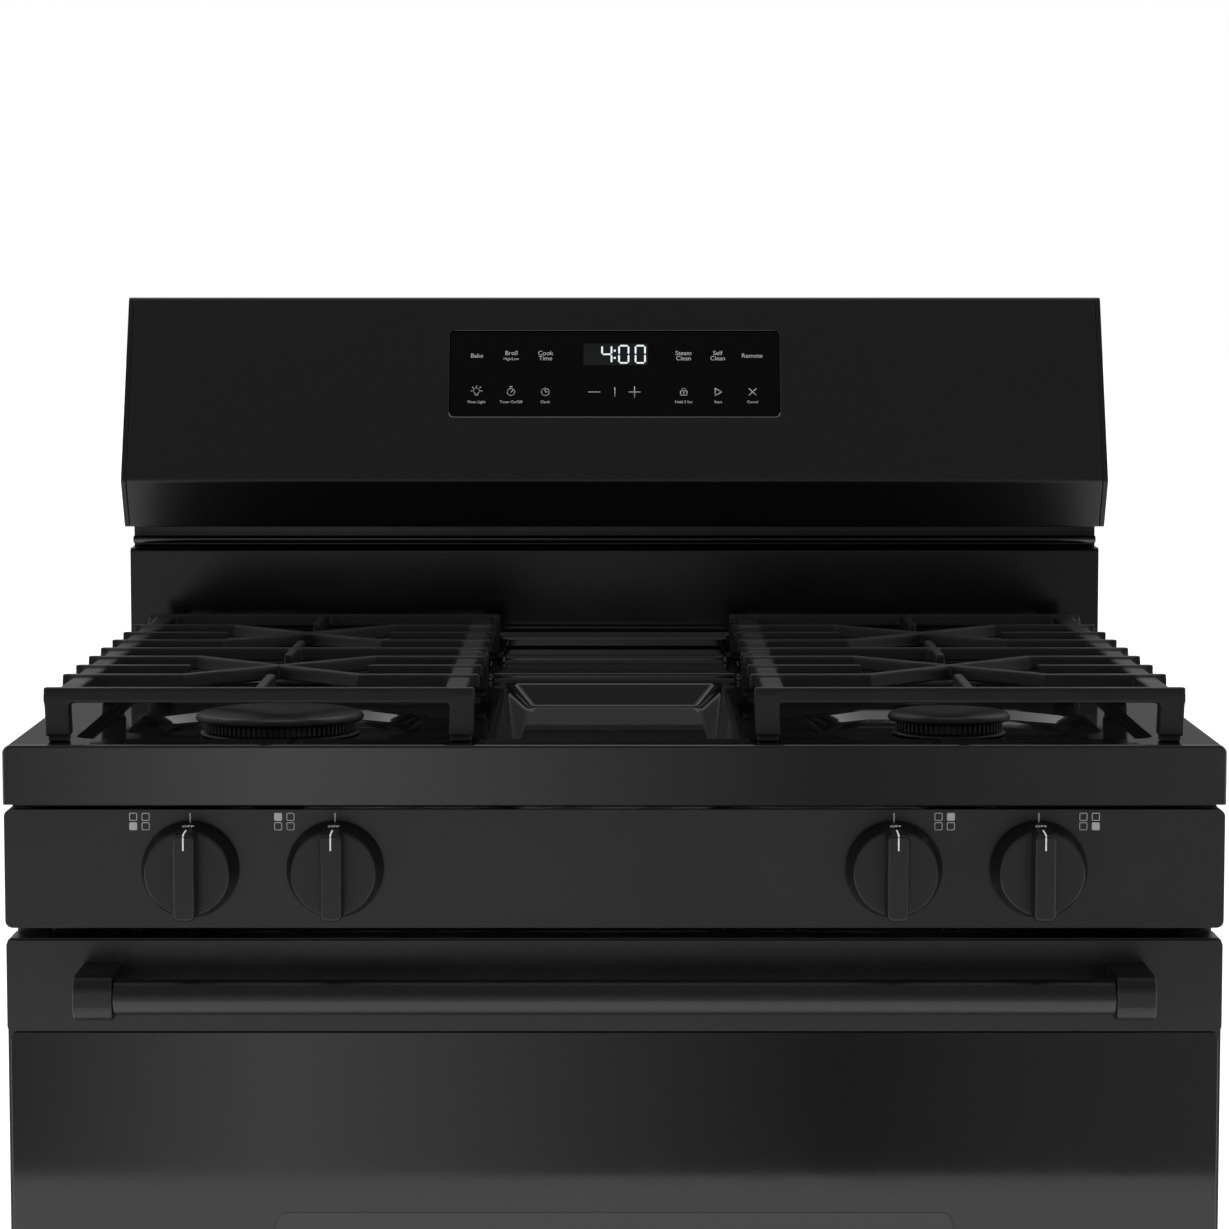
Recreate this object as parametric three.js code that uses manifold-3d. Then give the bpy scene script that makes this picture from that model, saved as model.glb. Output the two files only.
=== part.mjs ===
// Freestanding 30 inch gas range, built as separate named pieces.
// Millimetres, X to the right, Y towards the back, Z up.
// Every height z is measured from the floor. Every depth y is measured back from the front face of
// the cooktop apron; the last group moves the whole range so that its origin is the middle of its
// footprint on the floor.

import * as THREE from 'three';
import { mergeVertices } from 'three/addons/utils/BufferGeometryUtils.js';
import Module from 'manifold-3d';

// ---- driving dimensions -------------------------------------------------------------------

const WIDTH = 759; // over the cooktop
const BODY_BACK = 657; // back of the rear panel
const HANDLE_FRONT = -52; // front of the door handle
const RIM_TOP = 921; // cooktop rim
const TOTAL_HEIGHT = 1196;
const SHEET = 1.2; // thickness of the pressed sheet pieces
const GAP = 0.3; // assembly gap between neighbouring pieces

const HALF = WIDTH / 2;
const PANEL_HALF = HALF - 0.5; // control panel and side panels
const CONSOLE_HALF = 378.5;

const FRAME_BOTTOM = 30; // top of the levelling feet
const FRAME_TOP = 60;
const FRAME_FRONT = 48.6; // front face of the oven's front frame
const FRAME_THICKNESS = 1.5;

const OVEN = { half: 300, z0: 303, z1: 737, y1: 557, wall: 1.5 };
const DOOR = { half: 378, z0: 250, z1: 800, front: -1.5, skin: 1.4, back: 30, inner: 41.9 };
const HINGE = { y: 27, z: 266, x: 346 };
const DRAWER = { half: 377, z0: 62, z1: 233, depth: 44, boxHalf: 335, boxBack: 480, boxTop: 200 };

const PANEL = { z0: 806.3, z1: 881.6, front: 2 };
const APRON_BOTTOM = 883.8;
const KNOB = { z: 843.5, radius: 30, faceRadius: 26.2, skirt: 18, bar: 14.3, barHeight: 55, length: 36.2 };
const KNOB_X = [-263.3, -173.4, 173.4, 263.3];
const KNOB_BACK = -1.8; // back of the skirt, 3.8 mm in front of the panel so that it can be pushed
const STEM_RADIUS = 3.5;

const BURNER_X = 221.3;
const FRONT_BURNER_Y = 160;
const REAR_BURNER_Y = 397;
const BURNERS = [
  { name: 'front_left', x: -BURNER_X, y: FRONT_BURNER_Y, cap: 55.5 },
  { name: 'front_right', x: BURNER_X, y: FRONT_BURNER_Y, cap: 40.5 },
  { name: 'rear_left', x: -BURNER_X, y: REAR_BURNER_Y, cap: 34 },
  { name: 'rear_right', x: BURNER_X, y: REAR_BURNER_Y, cap: 46 },
];
const CAP = { z0: 918.6, z1: 924.6 };

// The pressed tray: its floor, the burner wells in it, and where the tray begins.
const TRAY = { half: 338, y0: 35, y1: 536, floor: 915.5 };
const WELL = { halfX: 96, halfY: 88, corner: 40, floor: 909 };
const MIDDLE_WELL = { half: 76, y0: 110, y1: 372, corner: 30, floor: 911 };
const LEDGE = { y0: 590, z1: 931, ridgeY0: 585, ridgeY1: 611, ridgeZ: 940.5, ridgeHalf: 365 };

const GRATE = {
  half: 134.3, y0: 15, y1: 552, top: 955, bar: 9.3, barTall: 9.5, railCentre: 121.5, rail: 15,
  pitch: 59.5, legWidth: 16, foot: RIM_TOP + GAP,
};

const RISER = { front: 614, z0: 931.3, z1: 1001, neckFront: 640, neckTop: 1019.2 };
const TRIM = { z0: 1005, z1: 1011, front: 608, half: 375.4 };
const CONSOLE = { chinY: 583, chinZ: 1019.5, noseY: 562, noseZ: 1056, topY: 623, back: 655 };
const GLASS = { half: 127.4, z0: 1105, z1: 1171, thickness: 3, recess: 1.2 };

// ---- materials ----------------------------------------------------------------------------

function finish(color, roughness, metalness) {
  return new THREE.MeshStandardMaterial({ color, roughness, metalness });
}

const enamel = finish('#16171a', 0.12, 0);
const paint = finish('#1b1c1e', 0.3, 0);
const castIron = finish('#1d1d1e', 0.6, 0.2);
const blackPlastic = finish('#1a1a1b', 0.35, 0);
const blackGlass = finish('#0b0c0e', 0.06, 0);
const clearGlass = finish('#2b2e33', 0.05, 0);
const aluminium = finish('#8e9093', 0.45, 1);
const wire = finish('#b4b6b8', 0.25, 1);
const galvanised = finish('#9a9da0', 0.5, 1);
const ovenEnamel = finish('#23272d', 0.25, 0);
const brass = finish('#b08d4a', 0.35, 1);
const gasketCord = finish('#4b4c4e', 0.9, 0);
const whiteGlaze = finish('#d8d5cc', 0.3, 0);

// ---- solids -------------------------------------------------------------------------------

const wasm = await Module();
wasm.setup();

/** A closed three.js geometry as a solid that can be joined and cut. */
function solid(geometry) {
  const bare = geometry.clone();
  bare.deleteAttribute('normal');
  bare.deleteAttribute('uv');
  const merged = mergeVertices(bare, 1e-4);
  const corners = merged.index.array;
  const triVerts = [];
  for (let i = 0; i < corners.length; i += 3) {
    const [a, b, c] = [corners[i], corners[i + 1], corners[i + 2]];
    if (a !== b && b !== c && c !== a) triVerts.push(a, b, c);
  }
  return new wasm.Manifold(new wasm.Mesh({
    numProp: 3,
    vertProperties: new Float32Array(merged.attributes.position.array),
    triVerts: new Uint32Array(triVerts),
  }));
}

function join(...geometries) {
  return geometries.map((g) => solid(g)).reduce((a, b) => a.add(b));
}

/** body with every cutter taken out of it. */
function cut(body, ...cutters) {
  return cutters.reduce((a, b) => a.subtract(solid(b)), body);
}

function geometryOf(manifold) {
  const mesh = manifold.getMesh();
  const geometry = new THREE.BufferGeometry();
  geometry.setAttribute('position', new THREE.BufferAttribute(mesh.vertProperties, 3));
  geometry.setIndex(new THREE.BufferAttribute(mesh.triVerts, 1));
  geometry.computeVertexNormals();
  return geometry;
}

/** Box between two corners. */
function block(x0, x1, y0, y1, z0, z1) {
  const geometry = new THREE.BoxGeometry(x1 - x0, y1 - y0, z1 - z0);
  return geometry.translate((x0 + x1) / 2, (y0 + y1) / 2, (z0 + z1) / 2);
}

/** Rectangle, drawn in the shape's own plane, with round corners where r is given. */
function rectangle(x0, x1, y0, y1, r = 0) {
  if (r === 0) return outline([[x0, y0], [x1, y0], [x1, y1], [x0, y1]]);
  const shape = new THREE.Shape();
  shape.moveTo(x0 + r, y0).lineTo(x1 - r, y0).absarc(x1 - r, y0 + r, r, -Math.PI / 2, 0, false);
  shape.lineTo(x1, y1 - r).absarc(x1 - r, y1 - r, r, 0, Math.PI / 2, false);
  shape.lineTo(x0 + r, y1).absarc(x0 + r, y1 - r, r, Math.PI / 2, Math.PI, false);
  shape.lineTo(x0, y0 + r).absarc(x0 + r, y0 + r, r, Math.PI, Math.PI * 1.5, false);
  return shape;
}

/** Closed outline through the given [u, v] points. */
function outline(points) {
  return new THREE.Shape(points.map(([u, v]) => new THREE.Vector2(u, v)));
}

/** Shape drawn in x and y, standing from z0 to z1. */
function plateFlat(shape, z0, z1, curveSegments = 4) {
  const options = { depth: z1 - z0, bevelEnabled: false, curveSegments };
  return new THREE.ExtrudeGeometry(shape, options).translate(0, 0, z0);
}

/** Shape drawn in x and z, as seen from the front, reaching from y0 back to y1. */
function plateUpright(shape, y0, y1, curveSegments = 4) {
  const options = { depth: y1 - y0, bevelEnabled: false, curveSegments };
  return new THREE.ExtrudeGeometry(shape, options).rotateX(Math.PI / 2).translate(0, y1, 0);
}

/** Shape drawn in y and z, as seen from the left, reaching from x0 to x1. */
function profile(shape, x0, x1, curveSegments = 4) {
  const options = { depth: x1 - x0, bevelEnabled: false, curveSegments };
  const turn = new THREE.Matrix4().makeBasis(
    new THREE.Vector3(0, 1, 0), new THREE.Vector3(0, 0, 1), new THREE.Vector3(1, 0, 0));
  return new THREE.ExtrudeGeometry(shape, options).applyMatrix4(turn).translate(x0, 0, 0);
}

/** Turned piece on a vertical axis: [radius, height] pairs from the bottom up. */
function turned(points, segments = 28) {
  const curve = points.map(([r, z]) => new THREE.Vector2(r, z));
  return new THREE.LatheGeometry(curve, segments).rotateX(Math.PI / 2);
}

/** Turned piece whose axis runs from back to front, centred on x and z. */
function turnedForward(points, x, z, segments = 28) {
  return turned(points, segments).rotateX(Math.PI / 2).translate(x, 0, z);
}

/** Plain cylinder from y0 back to y1. */
function rod(x, z, radius, y0, y1, segments = 12) {
  return turnedForward([[0, -y1], [radius, -y1], [radius, -y0], [0, -y0]], x, z, segments);
}

/** Round tube along a smooth curve through the given points. */
function bentTube(points, radius, steps) {
  const section = new THREE.Shape();
  section.absarc(0, 0, radius, 0, Math.PI * 2, false);
  const extrudePath = new THREE.CatmullRomCurve3(
    points.map(([x, y, z]) => new THREE.Vector3(x, y, z)), false, 'centripetal');
  return new THREE.ExtrudeGeometry(section, { steps, extrudePath, bevelEnabled: false, curveSegments: 4 });
}

const range = new THREE.Group();
range.position.y = -(BODY_BACK + HANDLE_FRONT) / 2;

function place(name, shape, material) {
  const geometry = shape instanceof THREE.BufferGeometry ? shape : geometryOf(shape);
  const mesh = new THREE.Mesh(geometry, material);
  mesh.name = name;
  range.add(mesh);
  return mesh;
}

// ---- chassis ------------------------------------------------------------------------------

/** Four rails, with two runners that the drawer rolls on. */
function baseFrame() {
  const bays = [[-348, -310], [-290, 290], [310, 348]];
  return cut(
    join(block(-373, 373, 55, 650, FRAME_BOTTOM + GAP, FRAME_TOP)),
    ...bays.map(([x0, x1]) => block(x0, x1, 80, 625, 0, FRAME_TOP + 1)),
  );
}

/** One side of the body: a sheet with its front and back edges folded inwards. */
function sidePanel(side) {
  const out = PANEL_HALF * side;
  const inner = out - SHEET * side;
  const lip = (PANEL_HALF - 20) * side;
  const front = FRAME_FRONT - GAP - SHEET;
  const back = BODY_BACK - SHEET - GAP;
  const shape = outline([
    [out, front], [out, back], [lip, back], [lip, back - SHEET],
    [inner, back - SHEET], [inner, front + SHEET], [lip, front + SHEET], [lip, front],
  ]);
  return plateFlat(shape, FRAME_BOTTOM + 4, APRON_BOTTOM - 0.4);
}

function rearPanel() {
  const sheet = rectangle(-PANEL_HALF, PANEL_HALF, 150, 1019);
  return plateUpright(sheet, BODY_BACK - SHEET, BODY_BACK);
}

function frontFrame() {
  const back = FRAME_FRONT + FRAME_THICKNESS;
  return cut(
    join(block(-374, 374, FRAME_FRONT, back, FRAME_TOP + GAP, 802)),
    block(-OVEN.half, OVEN.half, FRAME_FRONT - 1, back + 1, OVEN.z0, OVEN.z1),
    block(-345, 345, FRAME_FRONT - 1, back + 1, 66, 240),
  );
}

function levellingFoot(x, y) {
  const edge = [
    [0, 0], [17, 0], [19, 2], [19, 6], [8, 9], [8, 14], [6, 14], [6, FRAME_BOTTOM], [0, FRAME_BOTTOM],
  ];
  return turned(edge, 20).translate(x, y, 0);
}

function gasInlet() {
  const body = join(
    turned([[0, FRAME_TOP + GAP], [24, FRAME_TOP + GAP], [24, 88], [14, 94], [14, 102], [0, 102]], 20)
      .translate(300, 626, 0),
    rod(300, 75, 9, 630, 654, 16),
  );
  return cut(body, rod(300, 75, 6, 645, 655, 16));
}

function powerInlet() {
  const body = join(block(-335, -275, 625, 652, FRAME_TOP + GAP, 100));
  return cut(body, rod(-305, 80, 10, 640, 653, 16));
}

place('base_frame', baseFrame(), galvanised);
place('side_panel_left', sidePanel(-1), paint);
place('side_panel_right', sidePanel(1), paint);
place('rear_panel', rearPanel(), galvanised);
place('front_frame', frontFrame(), ovenEnamel);
for (const [end, y] of [['front', 80], ['rear', 625]]) {
  place(`foot_${end}_left`, levellingFoot(-330, y), blackPlastic);
  place(`foot_${end}_right`, levellingFoot(330, y), blackPlastic);
}
place('gas_inlet', gasInlet(), brass);
place('power_inlet', powerInlet(), blackPlastic);

// ---- oven ---------------------------------------------------------------------------------

function ovenCavity() {
  const { half, z0, z1, y1, wall } = OVEN;
  const front = FRAME_FRONT + FRAME_THICKNESS + GAP;
  const outer = join(block(-half - wall, half + wall, front, y1 + wall, z0 - wall, z1 + wall));
  return cut(outer, block(-half, half, front - 1, y1, z0, z1));
}

function doorGasket() {
  const [front, back] = [DOOR.inner + 0.4, FRAME_FRONT - GAP];
  return cut(
    join(plateUpright(rectangle(-325, 325, 282, 758, 12), front, back)),
    plateUpright(rectangle(-312, 312, 295, 745, 8), front - 1, back + 1),
  );
}

/** Sheet over the bake burner, with side legs and slots that let the heat up. */
function ovenFloor() {
  const slots = [];
  for (const x of [-275, 255]) {
    for (let i = 0; i < 6; i += 1) slots.push(block(x, x + 20, 100 + i * 72, 150 + i * 72, 340, 350));
  }
  const sheet = join(
    block(-297, 297, 62, 552, 345, 347),
    block(-297, -295, 62, 552, OVEN.z0 + GAP, 346),
    block(295, 297, 62, 552, OVEN.z0 + GAP, 346),
  );
  return cut(sheet, ...slots);
}

function loopBurner(half, z, front) {
  const back = OVEN.y1 - 1;
  return bentTube([
    [-half, back, z], [-half, back - 80, z], [-half, front + 60, z], [-half + 60, front, z],
    [half - 60, front, z], [half, front + 60, z], [half, back - 80, z], [half, back, z],
  ], 9, 36);
}

const GUIDE = { y0: 70, y1: 545, z0: 362, pitch: 62, rungs: 6, rung: 5 };

/** Ladder on the cavity's side wall: thin posts on the wall and rungs that carry a rack. */
function rackGuide(side) {
  const wall = (OVEN.half - GAP) * side;
  const post = (OVEN.half - 3.3) * side;
  const reach = (OVEN.half - 12) * side;
  const [p0, p1] = [Math.min(wall, post), Math.max(wall, post)];
  const [r0, r1] = [Math.min(wall, reach), Math.max(wall, reach)];
  const top = GUIDE.z0 + GUIDE.pitch * (GUIDE.rungs - 1) + GUIDE.rung;
  const pieces = [GUIDE.y0, GUIDE.y1 - 6].map((y) => block(p0, p1, y, y + 6, GUIDE.z0, top));
  for (let i = 0; i < GUIDE.rungs; i += 1) {
    const z = GUIDE.z0 + GUIDE.pitch * i;
    pieces.push(block(r0, r1, GUIDE.y0 + 1, GUIDE.y1 - 1, z, z + GUIDE.rung));
  }
  return join(...pieces);
}

/** Wire rack that rests on one pair of rungs. */
function ovenRack(rung) {
  const z = GUIDE.z0 + GUIDE.pitch * rung + GUIDE.rung + GAP;
  const [columns, rows] = [12, 2];
  const [half, y0, y1, wireWidth] = [295.5, 88, 530, 6];
  const stepX = (half * 2 - wireWidth) / columns;
  const stepY = (y1 - y0 - wireWidth) / rows;
  const openings = [];
  for (let i = 0; i < columns; i += 1) {
    for (let j = 0; j < rows; j += 1) {
      const x = -half + wireWidth + i * stepX;
      const y = y0 + wireWidth + j * stepY;
      openings.push(block(x, x + stepX - wireWidth, y, y + stepY - wireWidth, z - 1, z + wireWidth + 1));
    }
  }
  return cut(join(plateFlat(rectangle(-half, half, y0, y1, 8), z, z + wireWidth)), ...openings);
}

function lampLens() {
  const back = -(OVEN.y1 - GAP);
  return turnedForward([[0, back], [27, back], [27, back + 4], [22, back + 14], [12, back + 19], [0, back + 20]],
    -210, 660, 20);
}

place('oven_cavity', ovenCavity(), ovenEnamel);
place('door_gasket', doorGasket(), gasketCord);
place('oven_floor', ovenFloor(), ovenEnamel);
place('bake_burner', loopBurner(150, 322, 110), galvanised);
place('broil_burner', loopBurner(110, 716, 150), galvanised);
place('rack_guide_left', rackGuide(-1), wire);
place('rack_guide_right', rackGuide(1), wire);
place('oven_rack_lower', ovenRack(1), wire);
place('oven_rack_upper', ovenRack(3), wire);
place('oven_lamp_lens', lampLens(), clearGlass);

// ---- cooktop ------------------------------------------------------------------------------

/** Rectangle with its corners cut off, as a plan outline. */
function chamfered(x, y, halfX, halfY, corner) {
  return outline([
    [x - halfX + corner, y - halfY], [x + halfX - corner, y - halfY],
    [x + halfX, y - halfY + corner], [x + halfX, y + halfY - corner],
    [x + halfX - corner, y + halfY], [x - halfX + corner, y + halfY],
    [x - halfX, y + halfY - corner], [x - halfX, y - halfY + corner],
  ]);
}

function cooktop() {
  const back = BODY_BACK - SHEET - GAP;
  const roof = RIM_TOP - SHEET;
  const nose = new THREE.Shape();
  nose.moveTo(0, APRON_BOTTOM).lineTo(back, APRON_BOTTOM).lineTo(back, RIM_TOP).lineTo(4, RIM_TOP);
  nose.absarc(4, RIM_TOP - 4, 4, Math.PI / 2, Math.PI, false);
  let pan = solid(profile(nose, -HALF, HALF));
  pan = cut(pan, block(-HALF + SHEET, HALF - SHEET, SHEET, back + 1, APRON_BOTTOM - 1, roof));

  const trayUnder = block(-TRAY.half - SHEET, TRAY.half + SHEET, TRAY.y0 - SHEET, TRAY.y1 + SHEET,
    TRAY.floor - SHEET, roof + 1);
  pan = pan.add(solid(trayUnder));
  const wells = BURNERS.map((b) => [b.x, b.y, WELL.halfX, WELL.halfY, WELL.corner, WELL.floor]);
  const middleY = (MIDDLE_WELL.y0 + MIDDLE_WELL.y1) / 2;
  wells.push([0, middleY, MIDDLE_WELL.half, (MIDDLE_WELL.y1 - MIDDLE_WELL.y0) / 2,
    MIDDLE_WELL.corner, MIDDLE_WELL.floor]);
  for (const [x, y, halfX, halfY, corner, floor] of wells) {
    const outer = chamfered(x, y, halfX + SHEET, halfY + SHEET, corner);
    pan = pan.add(solid(plateFlat(outer, floor - SHEET, TRAY.floor - SHEET + 0.5)));
  }
  pan = cut(pan, block(-TRAY.half, TRAY.half, TRAY.y0, TRAY.y1, TRAY.floor, RIM_TOP + 5));
  for (const [x, y, halfX, halfY, corner, floor] of wells) {
    pan = cut(pan, plateFlat(chamfered(x, y, halfX, halfY, corner), floor, TRAY.floor + 1));
  }
  for (const b of BURNERS) {
    pan = cut(pan, turned([[0, 900], [21, 900], [21, 925], [0, 925]], 20).translate(b.x, b.y, 0));
  }
  pan = pan.add(solid(block(-HALF + SHEET + 1, HALF - SHEET - 1, LEDGE.y0, back, roof + 0.5, LEDGE.z1)));
  return pan.add(solid(block(-LEDGE.ridgeHalf, LEDGE.ridgeHalf, LEDGE.ridgeY0, LEDGE.ridgeY1,
    roof + 0.5, LEDGE.ridgeZ)));
}

/** Aluminium burner: a mixing throat under the well and a ported ring under the cap. */
function burnerHead(burner) {
  const ring = burner.cap - 6;
  const base = WELL.floor + GAP;
  return turned([
    [0, 882], [17, 882], [17, base], [ring + 3, base], [ring + 3, base + 2.5], [ring, base + 4],
    [ring, CAP.z0 - GAP], [0, CAP.z0 - GAP],
  ], 28).translate(burner.x, burner.y, 0);
}

function burnerCap(burner) {
  const r = burner.cap;
  return turned([
    [0, CAP.z0], [r - 1.2, CAP.z0], [r, CAP.z0 + 1.2], [r, CAP.z1 - 2.6], [r - 2.8, CAP.z1 - 0.6],
    [r - 8, CAP.z1], [0, CAP.z1],
  ], 32).translate(burner.x, burner.y, 0);
}

/** Straight bar in the plane of the grate, from one [x, y] to another. */
function grateBar([x0, y0], [x1, y1], width, z0, z1) {
  const length = Math.hypot(x1 - x0, y1 - y0);
  const bar = new THREE.BoxGeometry(length, width, z1 - z0);
  return bar.rotateZ(Math.atan2(y1 - y0, x1 - x0)).translate((x0 + x1) / 2, (y0 + y1) / 2, (z0 + z1) / 2);
}

function grate(centre) {
  const g = GRATE;
  const z0 = g.top - g.barTall;
  const pieces = [];
  const across = (y, x0, x1) => pieces.push(grateBar([centre + x0, y], [centre + x1, y], g.bar, z0, g.top));
  const along = (x, y0, y1, width) => pieces.push(grateBar([centre + x, y0], [centre + x, y1], width, z0, g.top));
  const firstY = g.y0 + g.bar / 2;
  const lastY = g.y1 - g.bar / 2;
  const middleY = (FRONT_BURNER_Y + REAR_BURNER_Y) / 2;
  for (const y of [firstY, middleY, lastY]) across(y, -g.half, g.half);
  for (const y of [FRONT_BURNER_Y, REAR_BURNER_Y]) {
    across(y, -g.half, -58.5);
    across(y, 58.5, g.half);
    for (const dy of [-g.pitch, g.pitch]) {
      across(y + dy, -g.half, -56);
      across(y + dy, 56, g.half);
    }
    for (const slope of [-1, 1]) {
      pieces.push(grateBar([centre - 57, y - g.pitch * slope], [centre + 57, y + g.pitch * slope],
        g.bar, z0, g.top));
    }
  }
  along(0, firstY, 100, 7);
  along(0, 227, 332, 7);
  along(0, 468, lastY, 7);
  for (const side of [-1, 1]) {
    const x = centre + side * g.railCentre;
    pieces.push(block(x - g.rail / 2, x + g.rail / 2, firstY, lastY, z0, g.top - 2));
    for (const y of [g.y0, middleY - g.legWidth / 2, g.y1 - g.legWidth]) {
      pieces.push(block(x - g.legWidth / 2, x + g.legWidth / 2, y, y + g.legWidth, g.foot, g.top - 4));
    }
  }
  return join(...pieces);
}

place('cooktop', cooktop(), enamel);
for (const burner of BURNERS) {
  place(`burner_head_${burner.name}`, burnerHead(burner), aluminium);
  place(`burner_cap_${burner.name}`, burnerCap(burner), castIron);
}
place('grate_left', grate(-BURNER_X), castIron);
place('grate_right', grate(BURNER_X), castIron);

// ---- front controls -----------------------------------------------------------------------

function controlPanel() {
  const { z0, z1, front } = PANEL;
  const sheet = join(
    plateUpright(rectangle(-PANEL_HALF, PANEL_HALF, z0, z1, 5), front, front + SHEET, 3),
    block(-PANEL_HALF + 6, PANEL_HALF - 6, front + 1, front + 26, z1 - SHEET, z1),
    block(-PANEL_HALF + 6, PANEL_HALF - 6, front + 1, front + 26, z0, z0 + SHEET),
    block(-PANEL_HALF + 0.2, -PANEL_HALF + SHEET, front + 1, FRAME_FRONT - 3, z0 + 5, z1 - 5),
    block(PANEL_HALF - SHEET, PANEL_HALF - 0.2, front + 1, FRAME_FRONT - 3, z0 + 5, z1 - 5),
  );
  return cut(sheet, ...KNOB_X.map((x) => rod(x, KNOB.z, STEM_RADIUS + 2, front - 1, front + SHEET + 1)));
}

/** Gas rail behind the panel with a valve at each knob. */
function gasManifold() {
  const railY = 66;
  const rail = turned([[0, -330], [10, -330], [10, 310], [0, 310]], 12);
  const pieces = [rail.rotateY(Math.PI / 2).translate(0, railY, KNOB.z)];
  for (const x of KNOB_X) pieces.push(block(x - 13, x + 13, 20, 60, KNOB.z - 13, KNOB.z + 13));
  const bores = KNOB_X.map((x) => rod(x, KNOB.z, STEM_RADIUS + 0.5, 19, 46));
  return cut(join(...pieces), ...bores);
}

function knob(x) {
  const back = -KNOB_BACK;
  const face = back + KNOB.skirt;
  const skirt = turnedForward([
    [0, back], [KNOB.radius, back], [KNOB.radius, back + 2], [KNOB.faceRadius + 0.8, face - 1],
    [KNOB.faceRadius - 0.4, face], [0, face],
  ], x, KNOB.z, 36);
  const half = KNOB.bar / 2;
  const bar = plateUpright(
    rectangle(x - half, x + half, KNOB.z - KNOB.barHeight / 2, KNOB.z + KNOB.barHeight / 2, 2.5),
    KNOB_BACK - KNOB.length, KNOB_BACK - 10, 2);
  return cut(join(skirt, bar), rod(x, KNOB.z, STEM_RADIUS + GAP, KNOB_BACK - 14, KNOB_BACK + 1));
}

place('control_panel', controlPanel(), paint);
place('gas_manifold', gasManifold(), aluminium);
KNOB_X.forEach((x, i) => {
  place(`valve_stem_${i + 1}`, rod(x, KNOB.z, STEM_RADIUS, KNOB_BACK - 13.6, 40), brass);
  place(`knob_${i + 1}`, knob(x), blackPlastic);
});

// ---- backguard ----------------------------------------------------------------------------

function riserPanel() {
  const { front, z0, z1, neckFront, neckTop } = RISER;
  const back = BODY_BACK - SHEET - GAP;
  const bend = outline([
    [front, z0], [front + SHEET, z0], [front + SHEET, z1 - SHEET], [neckFront + SHEET, z1 - SHEET],
    [neckFront + SHEET, neckTop], [neckFront, neckTop], [neckFront, z1], [front, z1],
  ]);
  const end = rectangle(front + 1, back, z0, z1);
  return join(
    profile(bend, -CONSOLE_HALF + 1, CONSOLE_HALF - 1),
    profile(end, -CONSOLE_HALF, -CONSOLE_HALF + SHEET),
    profile(end, CONSOLE_HALF - SHEET, CONSOLE_HALF),
  );
}

function ventTrim() {
  const { z0, z1, front, half } = TRIM;
  const r = (z1 - z0) / 2;
  const nose = new THREE.Shape();
  nose.moveTo(RISER.neckFront - GAP, z0).lineTo(RISER.neckFront - GAP, z1).lineTo(front + r, z1);
  nose.absarc(front + r, z0 + r, r, Math.PI / 2, Math.PI * 1.5, false);
  return profile(nose, -half, half);
}

/** The console seen from its end. */
function consoleOutline() {
  const { chinY, chinZ, noseY, noseZ, topY, back } = CONSOLE;
  return outline([[chinY, chinZ], [back, chinZ], [back, TOTAL_HEIGHT], [topY, TOTAL_HEIGHT], [noseY, noseZ]]);
}

const FACE = new THREE.Vector2(CONSOLE.topY - CONSOLE.noseY, TOTAL_HEIGHT - CONSOLE.noseZ).normalize();

/** Depth of the console's sloping face at height z. */
function faceY(z) {
  return CONSOLE.noseY + (z - CONSOLE.noseZ) * (FACE.x / FACE.y);
}

/** A slab that lies in the sloping face, between two heights and two distances behind the face. */
function slopingSlab(half, z0, z1, depth0, depth1) {
  const at = (z, depth) => [faceY(z) + depth * FACE.y, z - depth * FACE.x];
  return profile(outline([at(z0, depth0), at(z0, depth1), at(z1, depth1), at(z1, depth0)]), -half, half);
}

const END_CAP = 4;

function consoleShell() {
  const half = CONSOLE_HALF - END_CAP - GAP;
  const outer = solid(profile(consoleOutline(), -half, half));
  const inside = outline([
    [CONSOLE.chinY + SHEET * 1.5, CONSOLE.chinZ + SHEET], [CONSOLE.back + 1, CONSOLE.chinZ + SHEET],
    [CONSOLE.back + 1, TOTAL_HEIGHT - SHEET], [CONSOLE.topY + SHEET, TOTAL_HEIGHT - SHEET],
    [CONSOLE.noseY + SHEET * 1.2, CONSOLE.noseZ],
  ]);
  const window = slopingSlab(GLASS.half + GAP, GLASS.z0 - GAP, GLASS.z1 + GAP, -5, 6);
  return cut(outer, profile(inside, -half - 1, half + 1), window);
}

function controlGlass() {
  const { half, z0, z1, recess, thickness } = GLASS;
  return slopingSlab(half, z0, z1, recess, recess + thickness);
}

function rearCover() {
  const sheet = rectangle(-CONSOLE_HALF + 3, CONSOLE_HALF - 3, CONSOLE.chinZ + 3, TOTAL_HEIGHT - 3);
  return plateUpright(sheet, BODY_BACK - SHEET + GAP, BODY_BACK);
}

place('riser_panel', riserPanel(), paint);
place('vent_trim', ventTrim(), paint);
place('console_shell', consoleShell(), paint);
place('console_end_left', profile(consoleOutline(), -CONSOLE_HALF, -CONSOLE_HALF + END_CAP), blackPlastic);
place('console_end_right', profile(consoleOutline(), CONSOLE_HALF - END_CAP, CONSOLE_HALF), blackPlastic);
place('console_rear_cover', rearCover(), galvanised);
place('control_glass', controlGlass(), blackGlass);

// ---- oven door ----------------------------------------------------------------------------

const WINDOW = { half: 225, z0: 405, z1: 640 };
const TOP_BAND = 742; // the steel band above the door's glass, which carries the handle

function doorOuterPanel() {
  const { half, z0, z1, front, skin, back } = DOOR;
  const face = front + 3.5;
  const sheet = rectangle(-half, half, z0, z1, 4);
  const tray = cut(
    join(plateUpright(sheet, face, back, 2), block(-half + 0.5, half - 0.5, front, face + 1, TOP_BAND, z1 - 1)),
    block(-half + skin, half - skin, face + skin, back + 1, z0 + skin, z1 - skin),
    block(-WINDOW.half, WINDOW.half, face - 1, face + skin + 1, WINDOW.z0, WINDOW.z1),
  );
  return tray;
}

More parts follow.
